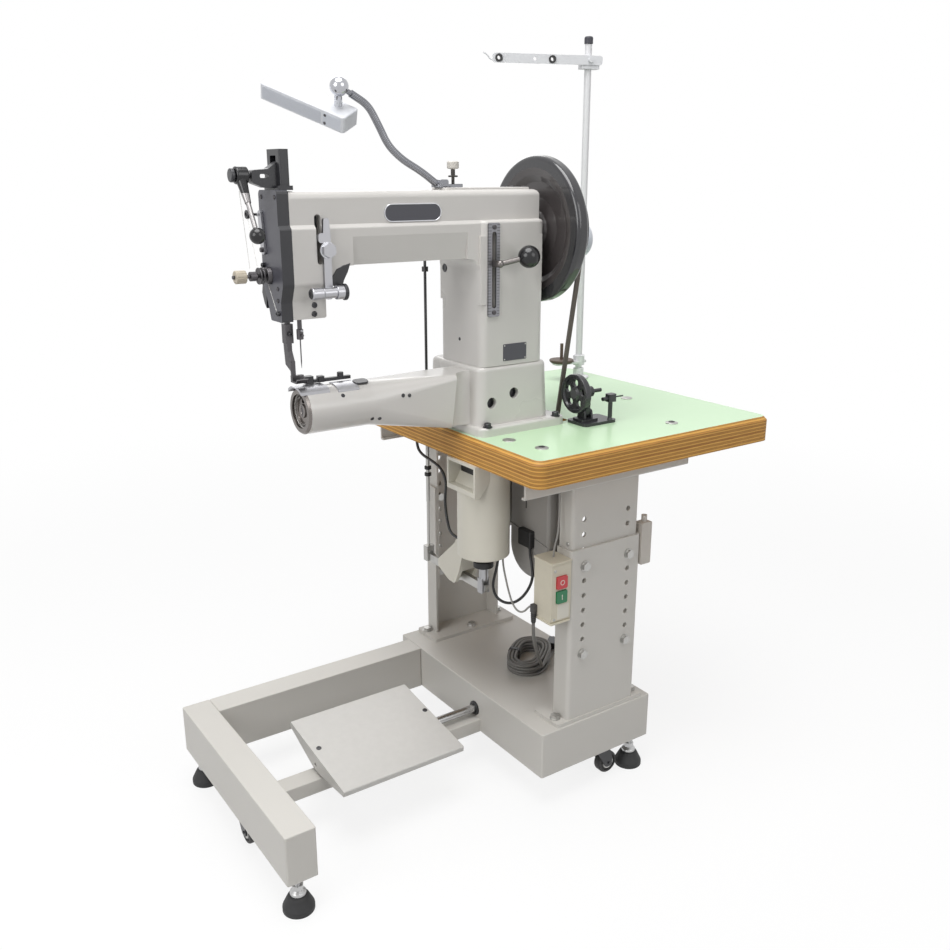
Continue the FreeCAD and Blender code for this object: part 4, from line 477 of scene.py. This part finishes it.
def dress_drive():
    """Solenoid and its linkage, motor, belt, wheels and winder."""
    dress(COIL, "solenoid_body")
    dress(zoned("plunger_and_collar", (tone(170, 170, 172), 1.0, 0.3),
                (tone(30, 30, 31), 0.0, 0.5,
                 lambda f: (f.along("Z") > 0.490) * (f.along("Z") < 0.510))),
          "solenoid_plunger")
    dress(ZINC, "lift_lever")
    dress(zoned("lift_rod_dark_and_plated", (tone(78, 77, 78), 1.0, 0.34),
                (tone(182, 181, 178), 1.0, 0.30, lambda f: f.along("Z") < 0.73)), "lift_rod")
    dress(MOTOR, "motor", "motor_pulley")
    dress(BELT, "v_belt")
    dress(zoned("black_wheel_enamel", (tone(36, 36, 40), 0.0, 0.16),
                (tone(60, 55, 55), 0.0, 0.40,
                 lambda f: f.near(WHEEL_HUB, 118.0) * (f.along("X") < 0.150)), coat=0.6),
          "handwheel")
    dress(zoned("black_pulley_enamel", (tone(38, 38, 42), 0.0, 0.24),
                (tone(120, 120, 124), 1.0, 0.34, lambda f: f.near(WINDER_HUB, 12.0)), coat=0.4),
          "winder_wheel")
    dress(WHITE, "synchroniser")
    dress(BLACK, "winder_frame", "winder_arm")


def dress_head():
    """Castings, covers, stitching parts, lamp and thread stand."""
    dress(HEAD, "bed_casting", "arm_casting", "top_cover")
    dress(BLACK, "lifter_bracket", "edge_guide")
    # Slate paint on the face cover; its front-facing faces are darker: painted shade
    dress(zoned("slate_cover_with_painted_shade_front", (tone(76, 76, 84), 0.0, 0.38),
                (tone(40, 40, 44), 0.0, 0.42, lambda f: f.facing("Y") < -0.5),
                fine=380, coat=0.15), "face_cover")
    dress(STEEL, "throat_plate", "slide_plate", "take_up_lever")
    dress(HOOK_STEEL, "hook_ring", "shuttle")
    dress(zoned("link_steel_and_black_end", (tone(178, 178, 182), 1.0, 0.26),
                (tone(40, 40, 44), 0.0, 0.35, lambda f: f.along("X") > -0.3315)), "foot_link")
    dress(DARK_STEEL, "needle_bar", "presser_bar", "tension_unit")
    dress(IVORY, "tension_nut")
    dress(stitch_scale(), "stitch_plate")
    knob = (tone(26, 26, 28), 0.0, 0.14)
    dress(zoned("lifter_arm_and_ball", (tone(150, 148, 148), 1.0, 0.24),
                (*knob, lambda f: f.near(LIFTER_BALL, 14.0)),
                (*knob, lambda f: f.along("Z") > 1.243)), "hand_lifter")
    dress(zoned("stitch_arm_and_ball", (tone(118, 114, 112), 1.0, 0.30),
                (*knob, lambda f: f.near(STITCH_BALL, 21.6))), "stitch_lever")
    dress(ribbed_neck(), "lamp_neck")
    dress(zoned("lamp_paint_and_ball_socket", (tone(226, 228, 233), 0.0, 0.32),
                (tone(186, 187, 192), 1.0, 0.12, lambda f: f.near(LAMP_BALL, 22.0)),
                fine=900, coat=0.2), "lamp_head")
    dress(zoned("pole_and_cap", (tone(228, 228, 230), 0.0, 0.36),
                (tone(58, 58, 66), 0.0, 0.45, lambda f: f.along("Z") > 1.5575),
                (tone(84, 70, 60), 0.0, 0.5,
                 lambda f: (f.along("X") < 0.470) * (f.along("Z") > 0.8265))),
          "thread_stand")
    dress(zoned("guide_arm_paint", (tone(218, 219, 222), 0.0, 0.36),
                (tone(150, 150, 152), 1.0, 0.3, lambda f: f.near(THREAD_CLAMP, 13.0))),
          "thread_arm")


dress_stand()
dress_drive()
dress_head()


# Small pieces

def across(aim):
    """An aim with two directions square to it."""
    w = Vector(aim).normalized()
    u = (Vector(UP) if abs(w.z) < 0.9 else Vector(RIGHT)).cross(w).normalized()
    return u, w.cross(u), w


def rounded(wide, tall, corner):
    """Outline of a rectangle with round corners, about its middle."""
    spots = []
    for a, b, start in ((1, -1, -90), (1, 1, 0), (-1, 1, 90), (-1, -1, 180)):
        for step in range(7):
            turn = math.radians(start + 15 * step)
            spots.append((a * (wide / 2 - corner) + corner * math.cos(turn),
                          b * (tall / 2 - corner) + corner * math.sin(turn)))
    return spots


class Piece:
    """One named piece, built up in millimetres from turned, plated and slotted forms."""

    def __init__(self, name, material, body="stand"):
        self.name, self.material, self.body = name, material, body
        self.mesh = bmesh.new()

    def skin(self, loops, closed=True):
        """Faces from each loop of points to the next, and over both ends of a closed form."""
        rows = [[self.mesh.verts.new(Vector(p) * MM) for p in loop] for loop in loops]
        count = len(rows[0])
        for low, high in zip(rows, rows[1:]):
            for i in range(count):
                j = (i + 1) % count
                self.mesh.faces.new((low[i], low[j], high[j], high[i]))
        if closed:
            self.mesh.faces.new(list(reversed(rows[0])))
            self.mesh.faces.new(rows[-1])
        return self

    def turned(self, at, aim, profile, sides=30, closed=True):
        """Rings of (along, radius) about an axis; a third entry makes the ring a hexagon."""
        u, v, w = across(aim)
        loops = []
        for along, radius, *hexed in profile:
            loop = []
            for i in range(sides):
                turn = 2 * math.pi * i / sides
                sixth = turn % (math.pi / 3) - math.pi / 6
                reach = radius * math.cos(math.pi / 6) / math.cos(sixth) if hexed else radius
                spoke = (u * math.cos(turn) + v * math.sin(turn)) * reach
                loop.append(Vector(at) + w * along + spoke)
            loops.append(loop)
        return self.skin(loops, closed)

    def socket_screw(self, at, aim, r, tall):
        """Cap screw with a hexagon socket."""
        return self.turned(at, aim, [(-1, r), (tall - 0.15 * r, r), (tall, 0.86 * r),
                                     (tall, 0.55 * r, 1), (0.45 * tall, 0.53 * r, 1)])

    def slotted_screw(self, at, aim, r, tall, turn):
        """Low screw head in two halves either side of its slot."""
        u, v, w = across(aim)
        spin = math.radians(turn)
        e = u * math.cos(spin) + v * math.sin(spin)
        n = v * math.cos(spin) - u * math.sin(spin)
        self.turned(at, aim, [(-1, r), (0.5 * tall, r)])
        for side in (1, -1):
            loops = []
            for lift, share in ((0.3 * tall, 1.0), (0.75 * tall, 1.0), (tall, 0.86)):
                loop = []
                for step in range(13):
                    bend = math.radians(10 + 160 * step / 12)
                    spoke = (e * math.cos(bend) + n * math.sin(bend)) * side * r * share
                    loop.append(Vector(at) + w * lift + spoke)
                loops.append(loop)
            self.skin(loops)
        return self

    def stepped(self, at, aim, up, wide, tall, corner, steps, closed=True):
        """Round-cornered outlines on a surface, one for each step of (lift, inset)."""
        w, v = Vector(aim).normalized(), Vector(up).normalized()
        u = v.cross(w)
        loops = []
        for lift, inset in steps:
            outline = rounded(wide - 2 * inset, tall - 2 * inset, max(corner - inset, 0.2))
            loops.append([Vector(at) + u * a + v * b + w * lift for a, b in outline])
        return self.skin(loops, closed)

    def plate(self, at, aim, up, wide, tall, thick, corner, edge=0.5):
        """Round-cornered plate on a surface, its face edge bevelled."""
        steps = ((-0.5, 0), (thick - edge, 0), (thick, edge))
        return self.stepped(at, aim, up, wide, tall, corner, steps)

    def rim(self, at, aim, up, wide, tall, thick, corner, band):
        """Round-cornered frame of one band all round."""
        steps = ((-0.5, 0), (thick, 0), (thick + 0.3, 0.4), (thick + 0.3, band - 0.3),
                 (thick, band), (-0.5, band), (-0.5, 0))
        return self.stepped(at, aim, up, wide, tall, corner, steps, False)

    def pushed(self, outline, aim, thick, edge=0.6):
        """Outline of points in one plane pushed out along an aim, its far edge bevelled."""
        w = Vector(aim).normalized()
        spots = [Vector(p) for p in outline]
        middle = sum(spots, Vector()) / len(spots)
        loops = []
        for lift, inset in ((0, 0), (thick - edge, 0), (thick, edge)):
            loops.append([p + w * lift + (middle - p).normalized() * inset for p in spots])
        return self.skin(loops)

    def done(self):
        """Mesh, material and body of the finished piece."""
        bmesh.ops.remove_doubles(self.mesh, verts=self.mesh.verts, dist=1e-7)
        bmesh.ops.recalc_face_normals(self.mesh, faces=self.mesh.faces)
        mesh = bpy.data.meshes.new(self.name)
        self.mesh.to_mesh(mesh)
        self.mesh.free()
        mesh.shade_smooth()
        mesh.set_sharp_from_angle(angle=math.radians(32))
        mesh.materials.append(self.material)
        piece = bpy.data.objects.new(self.name, mesh)
        bpy.context.scene.collection.objects.link(piece)
        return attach(piece, self.body)


def arm_plates():
    """Bare badge with its rim on the arm, and the bare riveted plate on the post."""
    spot = (-175.5, BAND_FRONT, 1207.5)
    Piece("bare_oval_badge", BADGE).plate(spot, FRONT, UP, 115, 28, 1.4, 13.9).done()
    Piece("oval_badge_rim", CHROME).rim(spot, FRONT, UP, 118, 31, 1.6, 15.4, 1.8).done()
    plate = Piece("bare_name_plate", BADGE)
    plate.plate((44.25, POST_FRONT, 939.5), FRONT, UP, 56.5, 33, 1.0, 1.5, 0.3)
    plate.done()
    rivets = Piece("name_plate_rivets", ZINC)
    dome = [(-0.5, 1.6), (0.4, 1.5), (0.9, 0.9), (1.0, 0.3)]
    for x in (19.0, 69.5):
        for z in (926.0, 953.0):
            rivets.turned((x, POST_FRONT - 1.0, z), FRONT, dome, 16)
    rivets.done()


def head_screws():
    """Screws of nose, pedestal feet and cylinder, plugs of post and pedestal, a black plate of
    painted shade on the link slot's floor, cover screws.
    """
    screws = Piece("head_socket_screws", BLACK)
    for x, z in ((-372, 1058), (-373, 1043)):
        screws.socket_screw((x, NOSE_FRONT, z), FRONT, 5.0, 2.2)
    for x in (-31, 139):
        for y in (-129, 75):
            screws.turned((x, y, FLANGE_TOP - 1.5), UP, [(0, 9.5), (1.6, 9.5), (1.6, 9.0)])
            screws.socket_screw((x, y, FLANGE_TOP), UP, 7.0, 7.5)
    screws.socket_screw((POST_LEFT, -40, 962), LEFT, 3.6, 0.6)
    for spot, aim in (((-324, -95, 894), (0, -0.79, 0.62)),
                      ((-205.7, -105.0, 881), (0, -0.99, 0.1)),
                      ((-192.4, -105.3, 879.6), (0, -0.99, 0.1)),
                      ((-267, -96.1, 843.5), (0, -0.81, -0.58)),
                      ((-252.5, -97.7, 842.2), (-0.17, -0.83, -0.53))):
        screws.socket_screw(spot, aim, 3.8, 0.7)
    screws.done()
    plugs = Piece("plugs_and_link_slot_shade", BLACK)
    cup = [(0, 10.8), (5, 10.8), (5, 8.6), (1.5, 7.8), (1.5, 3.2), (3.0, 2.6)]
    for x, z in ((-14, 844), (40, 858)):
        plugs.turned((x, -105.2, z), FRONT, cup, 36)
    button = [(-1, 8.0), (0.9, 8.0), (1.4, 7.2), (1.4, 5.2), (0.5, 4.8)]
    plugs.turned((POST_LEFT, 11.5, 1096), LEFT, button)
    # Painted shade: a thin black plate on the floor of the foot link's slot
    plugs.plate((-362, LINK_SLOT_FLOOR, 1167), FRONT, UP, 11.6, 81.6, 0.3, 5.7, 0.1)
    plugs.done()
    plated = Piece("cover_screws", DARK_STEEL)
    for z in (1178, 1020):
        plated.slotted_screw((-9, -118, z), FRONT, 4.4, 2.0, 30)
    for x in (-86, 86):
        for y in (-80, -44):
            plated.slotted_screw((x, y, TOP_COVER), UP, 4.2, 1.8, 20)
    for y, z in ((-87, 1088), (-85, 1068), (-40, 1236), (-94, 1236)):
        plated.slotted_screw((COVER_FACE, y, z), LEFT, 3.6, 1.6, 50)
    plated.done()


def throat_guard():
    """Curved guard in the corner under the nose."""
    outline = ((-307, 1126), (-321, 1123), (-334, 1117), (-342, 1106), (-343.5, 1091),
               (-336, 1088), (-324, 1086), (-320, 1098), (-312, 1112))
    guard = Piece("throat_guard", BLACK)
    guard.pushed([(x, BEAD_FRONT, z) for x, z in outline], FRONT, 1.2)
    guard.done()


def hook_details():
    """Finger tab of the slide plate and the latch over the bobbin."""
    tab = Piece("slide_finger_tab", BLACK, "slide_plate")
    tab.plate((-277, -73, 910.3), (0, -0.24, 0.97), (0, 0.97, 0.24), 30, 19, 2.0, 9.0, 0.8)
    tab.done()
    latch = Piece("bobbin_latch", DARK_STEEL, "shuttle")
    latch.plate((-387.6, HEAD_Y, TUBE_Z), LEFT, UP, 9, 24, 1.4, 4.0)
    for z in (-8, 8):
        latch.slotted_screw((-389.0, HEAD_Y, TUBE_Z + z), LEFT, 2.6, 1.2, 40 + z)
    latch.done()


def thread_guides():
    """Eyes on the face cover, the bent guide with its ring, and the shaped edge beside them."""
    guides = Piece("thread_guides", BLACK)
    eye = [(-1, 4.2), (5, 4.2), (6, 3.4), (6, 2.0), (3, 1.8)]
    for y, z in ((-37, 1124), (-88, 1047)):
        guides.turned((COVER_FACE, y, z), LEFT, eye, 24)
    guides.turned((-425, -29, 1203), (0, 0.995, 0.09), [(0, 3.2), (34, 2.8), (36, 2.2)], 20)
    guides.turned((-423, 6, 1206), LEFT, [(0, 2.4), (14, 2.4), (15, 2.0)], 20)
    ring = [(-2, 7.6), (2, 7.6), (2.6, 6.8), (2.6, 4.2), (2, 3.6), (-2, 3.6), (-2.6, 4.2),
            (-2.6, 6.8), (-2, 7.6)]
    guides.turned((-438.5, 12, 1206), LEFT, ring, 28, False)
    guides.done()
    outline = ((-27, 1128), (-17, 1120), (-13, 1104), (-19, 1092), (-14, 1076), (-22, 1058),
               (-30, 1050), (-34, 1090))
    edge = Piece("cover_edge_guide", BLACK)
    edge.pushed([(COVER_FACE + 2, y, z) for y, z in outline], RIGHT, 8)
    edge.done()


def needle_end_screws():
    """Bolt and end screw of the foot link, and the screws of presser and needle clamps."""
    link = Piece("link_bolt", CHROME, "foot_link")
    bolt = [(0, 13.5), (2.0, 13.5), (2.6, 12.6), (2.6, 10.6, 1), (8.6, 10.6, 1), (9.6, 9.4),
            (9.6, 6.4), (9.0, 5.8)]
    link.turned((-352, LINK_FRONT, 1150), FRONT, bolt, 36)
    link.done()
    end = Piece("link_end_screw", BLACK, "foot_link")
    end.socket_screw((-390, LINK_FRONT - 9, 1080), LEFT, 8.4, 1.4)
    end.done()
    clamp = Piece("clamp_screws", BLACK, "presser")
    clamp.socket_screw((-399.5, -49, 1005), FRONT, 4.0, 5.0)
    clamp.done()
    needle = Piece("needle_screw", STEEL, "needle")
    needle.slotted_screw((-386, -68, 1012), FRONT, 2.4, 4.0, 70)
    needle.done()


LAMP_TURN = (Matrix.Rotation(math.radians(-54.9), 3, "Z")
             @ Matrix.Rotation(math.radians(21.1), 3, "Y")
             @ Matrix.Rotation(math.radians(24.8), 3, "X"))
DRAWN_BALL = (53, 7.5, 61)          # middle of the ball in the lamp's own drawing


def lamp_place(*drawn):
    """Point of the lamp's own drawing, as it hangs on its ball."""
    return LAMP_TURN @ Vector([c - b for c, b in zip(drawn, DRAWN_BALL)]) + Vector(LAMP_BALL)


def lamp_details():
    """Diffuser below and in front, screwed end plate and switch of the work lamp."""
    below, front, left, up, back = (LAMP_TURN @ Vector(way)
                                    for way in (DOWN, FRONT, LEFT, UP, BACK))
    window = Piece("lamp_diffuser", lamp_glass(), "lamp")
    window.plate(lamp_place(-19.5, 0, 0.4), below, back, 118, 38, 0.2, 3.0, 0.1)
    window.plate(lamp_place(-19.5, -23.5, 12.5), front, up, 119, 21, 0.5, 3.0, 0.3)
    window.done()
    panel = Piece("lamp_end_plate", WHITE, "lamp")
    panel.plate(lamp_place(61.5, -23.5, 12.5), front, up, 35, 21, 0.5, 2.0, 0.3)
    panel.done()
    screws = Piece("lamp_end_screws", DARK_STEEL, "lamp")
    for z in (5.5, 19.5):
        screws.slotted_screw(lamp_place(48, -24.0, z), front, 2.4, 0.9, 30)
    screws.plate(lamp_place(-85, 4, 14), left, up, 12, 3, 0.3, 1.2, 0.1)
    screws.done()


def thread_arm_grommets():
    """Black grommets in both eyes of the thread arm, which stands turned on its pole."""
    grommets = Piece("thread_arm_grommets", BLACK_PLASTIC, "thread_arm")
    swing = Matrix.Rotation(math.radians(-20), 3, "Z")
    lips = [(0.9, 8.4), (1.6, 7.6), (1.6, 5.0), (0.9, 4.3), (-7.9, 4.3), (-8.6, 5.0),
            (-8.6, 7.6), (-7.9, 8.4), (0.9, 8.4)]
    for eye in (-218, -92):
        spot = Vector(THREAD_CLAMP) + swing @ Vector((eye, -17, 0))
        grommets.turned(spot, swing @ Vector(FRONT), lips, 28, False)
    grommets.done()


def switch_details():
    """Lips, bare label, screws and sleeve ribs of the switch, and plain signs on its buttons."""
    lips = Piece("switch_lips", CREAM)
    for z, aim in ((545, UP), (420, DOWN)):
        lips.plate((45.5, -245.5, z), aim, BACK, 51, 60, 3.6, 3.0, 1.0)
    lips.done()
    label = Piece("bare_switch_label", PALE)
    label.plate((52.6, SWITCH_FACE, 441), FRONT, UP, 29, 31, 0.4, 1.5, 0.2)
    label.done()
    screws = Piece("switch_screws", ZINC)
    for z in (531, 427):
        screws.slotted_screw((30, SWITCH_FACE, z), FRONT, 3.0, 1.2, 25 + z)
    screws.slotted_screw((76.5, -254, 572), LEFT, 4.5, 2.0, 60)
    screws.done()
    ribs = Piece("cord_sleeve_ribs", BLACK_PLASTIC)
    x, y, z = CORD_EXIT
    for k in range(5):
        r = 4.75 + 0.2 * k
        rib = [(0, r - 0.5), (0.4, r + 0.5), (1.6, r + 0.6), (2.0, r - 0.4)]
        ribs.turned((x, y, z + 2.5 + 4 * k), UP, rib, 24)
    ribs.done()
    off = Piece("stop_sign", PALE, "stop_button")
    off.rim((46.5, BUTTON_FACE, 505), FRONT, UP, 11, 11, 0.1, 5.4, 1.5)
    off.done()
    on = Piece("start_sign", PALE, "start_button")
    on.plate((46.5, BUTTON_FACE, 474), FRONT, UP, 1.8, 11, 0.3, 0.8, 0.1)
    on.done()


def drive_details():
    """Slot and plug of the control case, a black plate of painted shade inside the solenoid's
    bracket, and knobs of the lift rod.
    """
    slot = Piece("case_light_slot", BLACK_PLASTIC)
    slot.plate((CASE_SIDE, -139, 640), LEFT, UP, 3.2, 44, 0.3, 1.4, 0.1)
    slot.done()
    plug = Piece("lead_plug", BLACK_PLASTIC)
    plug.plate((CASE_SIDE, -148, 558), LEFT, UP, 40, 36, 12.5, 3.0, 1.5)
    plug.turned((53.5, -162, 541.5), UP, [(-3, 4.2), (1, 4.6), (3, 4.6)], 24)
    plug.done()
    # Painted shade: a black plate inside the solenoid's bracket, where there is only shade
    cap = Piece("coil_bracket_shade_plate", BLACK_PLASTIC)
    cap.plate((-44, -98, 699.5), LEFT, UP, 84, 46, 0.8, 3.0, 0.3)
    cap.done()
    knobs = Piece("lift_rod_knobs", BLACK_PLASTIC, "lift_rod")
    for z in (656, 641):
        knobs.turned((-18, 115, z), UP, [(-4, 6.2), (-3, 7.6), (3, 7.6), (4, 6.2)], 24)
    knobs.done()


def base_details():
    """Treadle screws, shaft bush, hub caps and table bolt slots."""
    lean, rise = math.sin(TREADLE_TILT), math.cos(TREADLE_TILT)
    plate_top = 25                  # above the shaft
    screws = Piece("treadle_screws", BLACK, "treadle")
    for x, back in ((-376, 16.7), (-120.5, 18.7)):
        y = TREADLE_Y + back * rise - plate_top * lean
        z = TREADLE_Z + back * lean + plate_top * rise
        screws.socket_screw((x, y, z), (0, -lean, rise), 5.5, 1.6)
    screws.done()
    bush = Piece("treadle_shaft_bush", BLACK_PLASTIC)
    bush.turned((2.2, TREADLE_Y, TREADLE_Z), LEFT,
                [(0, 16), (3, 16), (4.5, 14), (4.5, 10), (0, 9.6)], 36, False)
    bush.done()
    dish = [(0, 14), (0.8, 13.6), (0.8, 9), (0.3, 8.6), (0.3, 6.0), (1.0, 5.6)]
    for end, hub, axle in CASTORS:
        cap = Piece("castor_hub_" + end, ZINC, "wheel_" + end)
        for side in (1, -1):
            w = Vector(axle) * side
            cap.turned(Vector(hub) + w * 9.6, w, dish)
        cap.done()
    slots = Piece("table_bolt_slots", DARK_STEEL)
    for x in (2, 343):
        for y in (-258, 258):
            slots.slotted_screw((x, y, 785), UP, 6.5, 0.9, x)
    slots.done()


# Cords

def cord_line(name, points, r, material):
    """A flexible cord on one smooth line through its route."""
    data = bpy.data.curves.new(name, "CURVE")
    data.dimensions = "3D"
    line = data.splines.new("NURBS")
    line.points.add(len(points) - 1)
    for spot, place in zip(line.points, points):
        spot.co = (*metres(place), 1)
    line.order_u = 3
    line.use_endpoint_u = True
    line.resolution_u = 10
    data.bevel_depth = r * MM
    data.bevel_resolution = 5
    data.use_fill_caps = True
    data.materials.append(material)
    piece = bpy.data.objects.new(name, data)
    bpy.context.scene.collection.objects.link(piece)
    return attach(piece, "stand")


def metres(point):
    return tuple(c * MM for c in point)


def held_leads():
    """Leads under the table."""
    coil = [(-40, 124, 730), (-40, 124, 706), (-40, 104, 692), (-40, 64, 688), (-40, 26, 680),
            (-40, 6, 655), (-40, 14, 614), (-42, 4, 576), (-53, -28, 548), (-44, -53, 546)]
    loop = [(9, -112, 521), (9, -112, 500), (10, -100, 470), (11, -90, 440), (15, -97, 416),
            (22, -118, 408), (28, -148, 418), (36, -174, 446), (46, -184, 480), (51, -172, 508),
            (53.5, -162, 526), (53.5, -162, 544)]
    grey = [(14, -122, 521), (14, -122, 502), (12, -134, 476), (10, -150, 446), (10, -164, 424),
            (12, -180, 414), (17, -193, 418), (23, -200, 430), (26, -208, 436), (26, -218, 436)]
    beam = [(66, -236, 725), (66, -236, 700), (66, -237.5, 666), (64, -240, 632), (60, -243, 598),
            (53, -244.5, 578), (48, -245, 561), (48, -245, 545)]
    for name, route, r, material, long in (("coil_lead", coil, 3.0, BLACK_PVC, 0.300),
                                           ("loop_lead", loop, 3.0, BLACK_PVC, 0.305),
                                           ("grey_lead", grey, 2.0, PALE_PVC, 0.174),
                                           ("beam_lead", beam, 2.0, PALE_PVC, 0.182)):
        lead = cord_line(name, route, r, material)
        metres(route[0])
        2 * r * MM
    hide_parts("machine_cables")


def sewing_threads():
    """Taut runs of the top thread to the tension discs, past them and down to the needle."""
    to_tension = [(-478, -58, 1246), (-474, -60, 1190), (-470, -62, 1122)]
    to_guide = [(-438.5, 12, 1204), (-446, -20, 1163), (-452, -50, 1124)]
    to_needle = [(-437, -38, 1122), (-437, -62, 1086), (-437, -87, 1048)]
    for name, route in (("thread_to_tension", to_tension), ("thread_to_guide", to_guide),
                        ("thread_to_needle", to_needle)):
        thread = cord_line(name, route, 0.45, THREAD)
        metres(route[0])


HANK_MIDDLE = (175.0, -12.0)
HANK_AIM = math.radians(40.0)
HANK_TOP = 204.7                    # middle of the cord in the top layer
HANK_LAYER = 7.6
HANK_OUTER = 44.0                   # radius of the outermost loop
LOOP_STEP = 3.9                     # from one loop to the next
LEFT_FAN = (10.0, 3.0, 8.0, 0.0)    # how far the left loops stand out, top layer first
RIGHT_FAN = (2.0, 5.0, 0.0, 3.0)


def hank_place(along, across, z):
    """Point of the hank, measured along and across its runs."""
    return (HANK_MIDDLE[0] + along * math.cos(HANK_AIM) - across * math.sin(HANK_AIM),
            HANK_MIDDLE[1] + along * math.sin(HANK_AIM) + across * math.cos(HANK_AIM), z)


def hank_loops():
    """Loops of the power cord, spiralling in and out over four layers from the top."""
    half, swell = 28.0, 1.07        # half of a straight run; points of a bend stand out by swell
    r, across, z = HANK_OUTER, -HANK_OUTER, HANK_TOP
    places = [hank_place(-35.0, across, z), hank_place(0.0, across, z)]
    for layer in range(4):
        for k in range(6):
            side = 1 if k % 2 == 0 else -1
            middle = across + side * r
            fan = (LEFT_FAN if side < 0 else RIGHT_FAN)[layer] * (r - 20.0) / 24.0
            for turn in (-90, -45, 0, 45, 90):
                bend = math.radians(turn)
                wide = r * (swell if abs(turn) < 90 else 1.0)
                places.append(hank_place(side * (half + (r * swell + fan) * math.cos(bend)),
                                         middle + side * wide * math.sin(bend), z))
            across += side * 2 * r
            if k < 5:
                places.append(hank_place(0.0, across, z))
                r += -LOOP_STEP if layer % 2 == 0 else LOOP_STEP
        if layer < 3:
            places += [hank_place(-12.0, across, z - 0.8),
                       hank_place(12.0, across, z - HANK_LAYER + 0.8)]
            z -= HANK_LAYER
    return places + [hank_place(along, across, z) for along in (10.0, 40.0, 64.0)]


def power_cord():
    """Mains lead: gland on the switch, a slack drop to the base and its tied hank with the plug."""
    drop = [CORD_EXIT, (17, -224, 382), (36, -205, 348), (70, -171, 302), (103, -138, 262),
            (130, -110, 234), hank_place(-69.0, -HANK_OUTER, HANK_TOP)]
    cord = cord_line("power_cord_line", drop + hank_loops(), 3.5, GREY_PVC)
    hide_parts("power_cord", "cord_hank")
    metres(CORD_EXIT)


def hank_tie():
    """Flat strap round the far side of the hank."""
    along = Vector(hank_place(1, 0, 0)) - Vector(hank_place(0, 0, 0))
    strap = Piece("hank_tie", BLACK_PVC)
    strap.rim(hank_place(-5, 36.2, 193.3), along, UP, 26.6, 32.4, 9.0, 7.0, 1.3)
    strap.done()


arm_plates()
head_screws()
throat_guard()
hook_details()
thread_guides()
needle_end_screws()
lamp_details()
thread_arm_grommets()
switch_details()
drive_details()
base_details()
held_leads()
sewing_threads()
power_cord()
hank_tie()
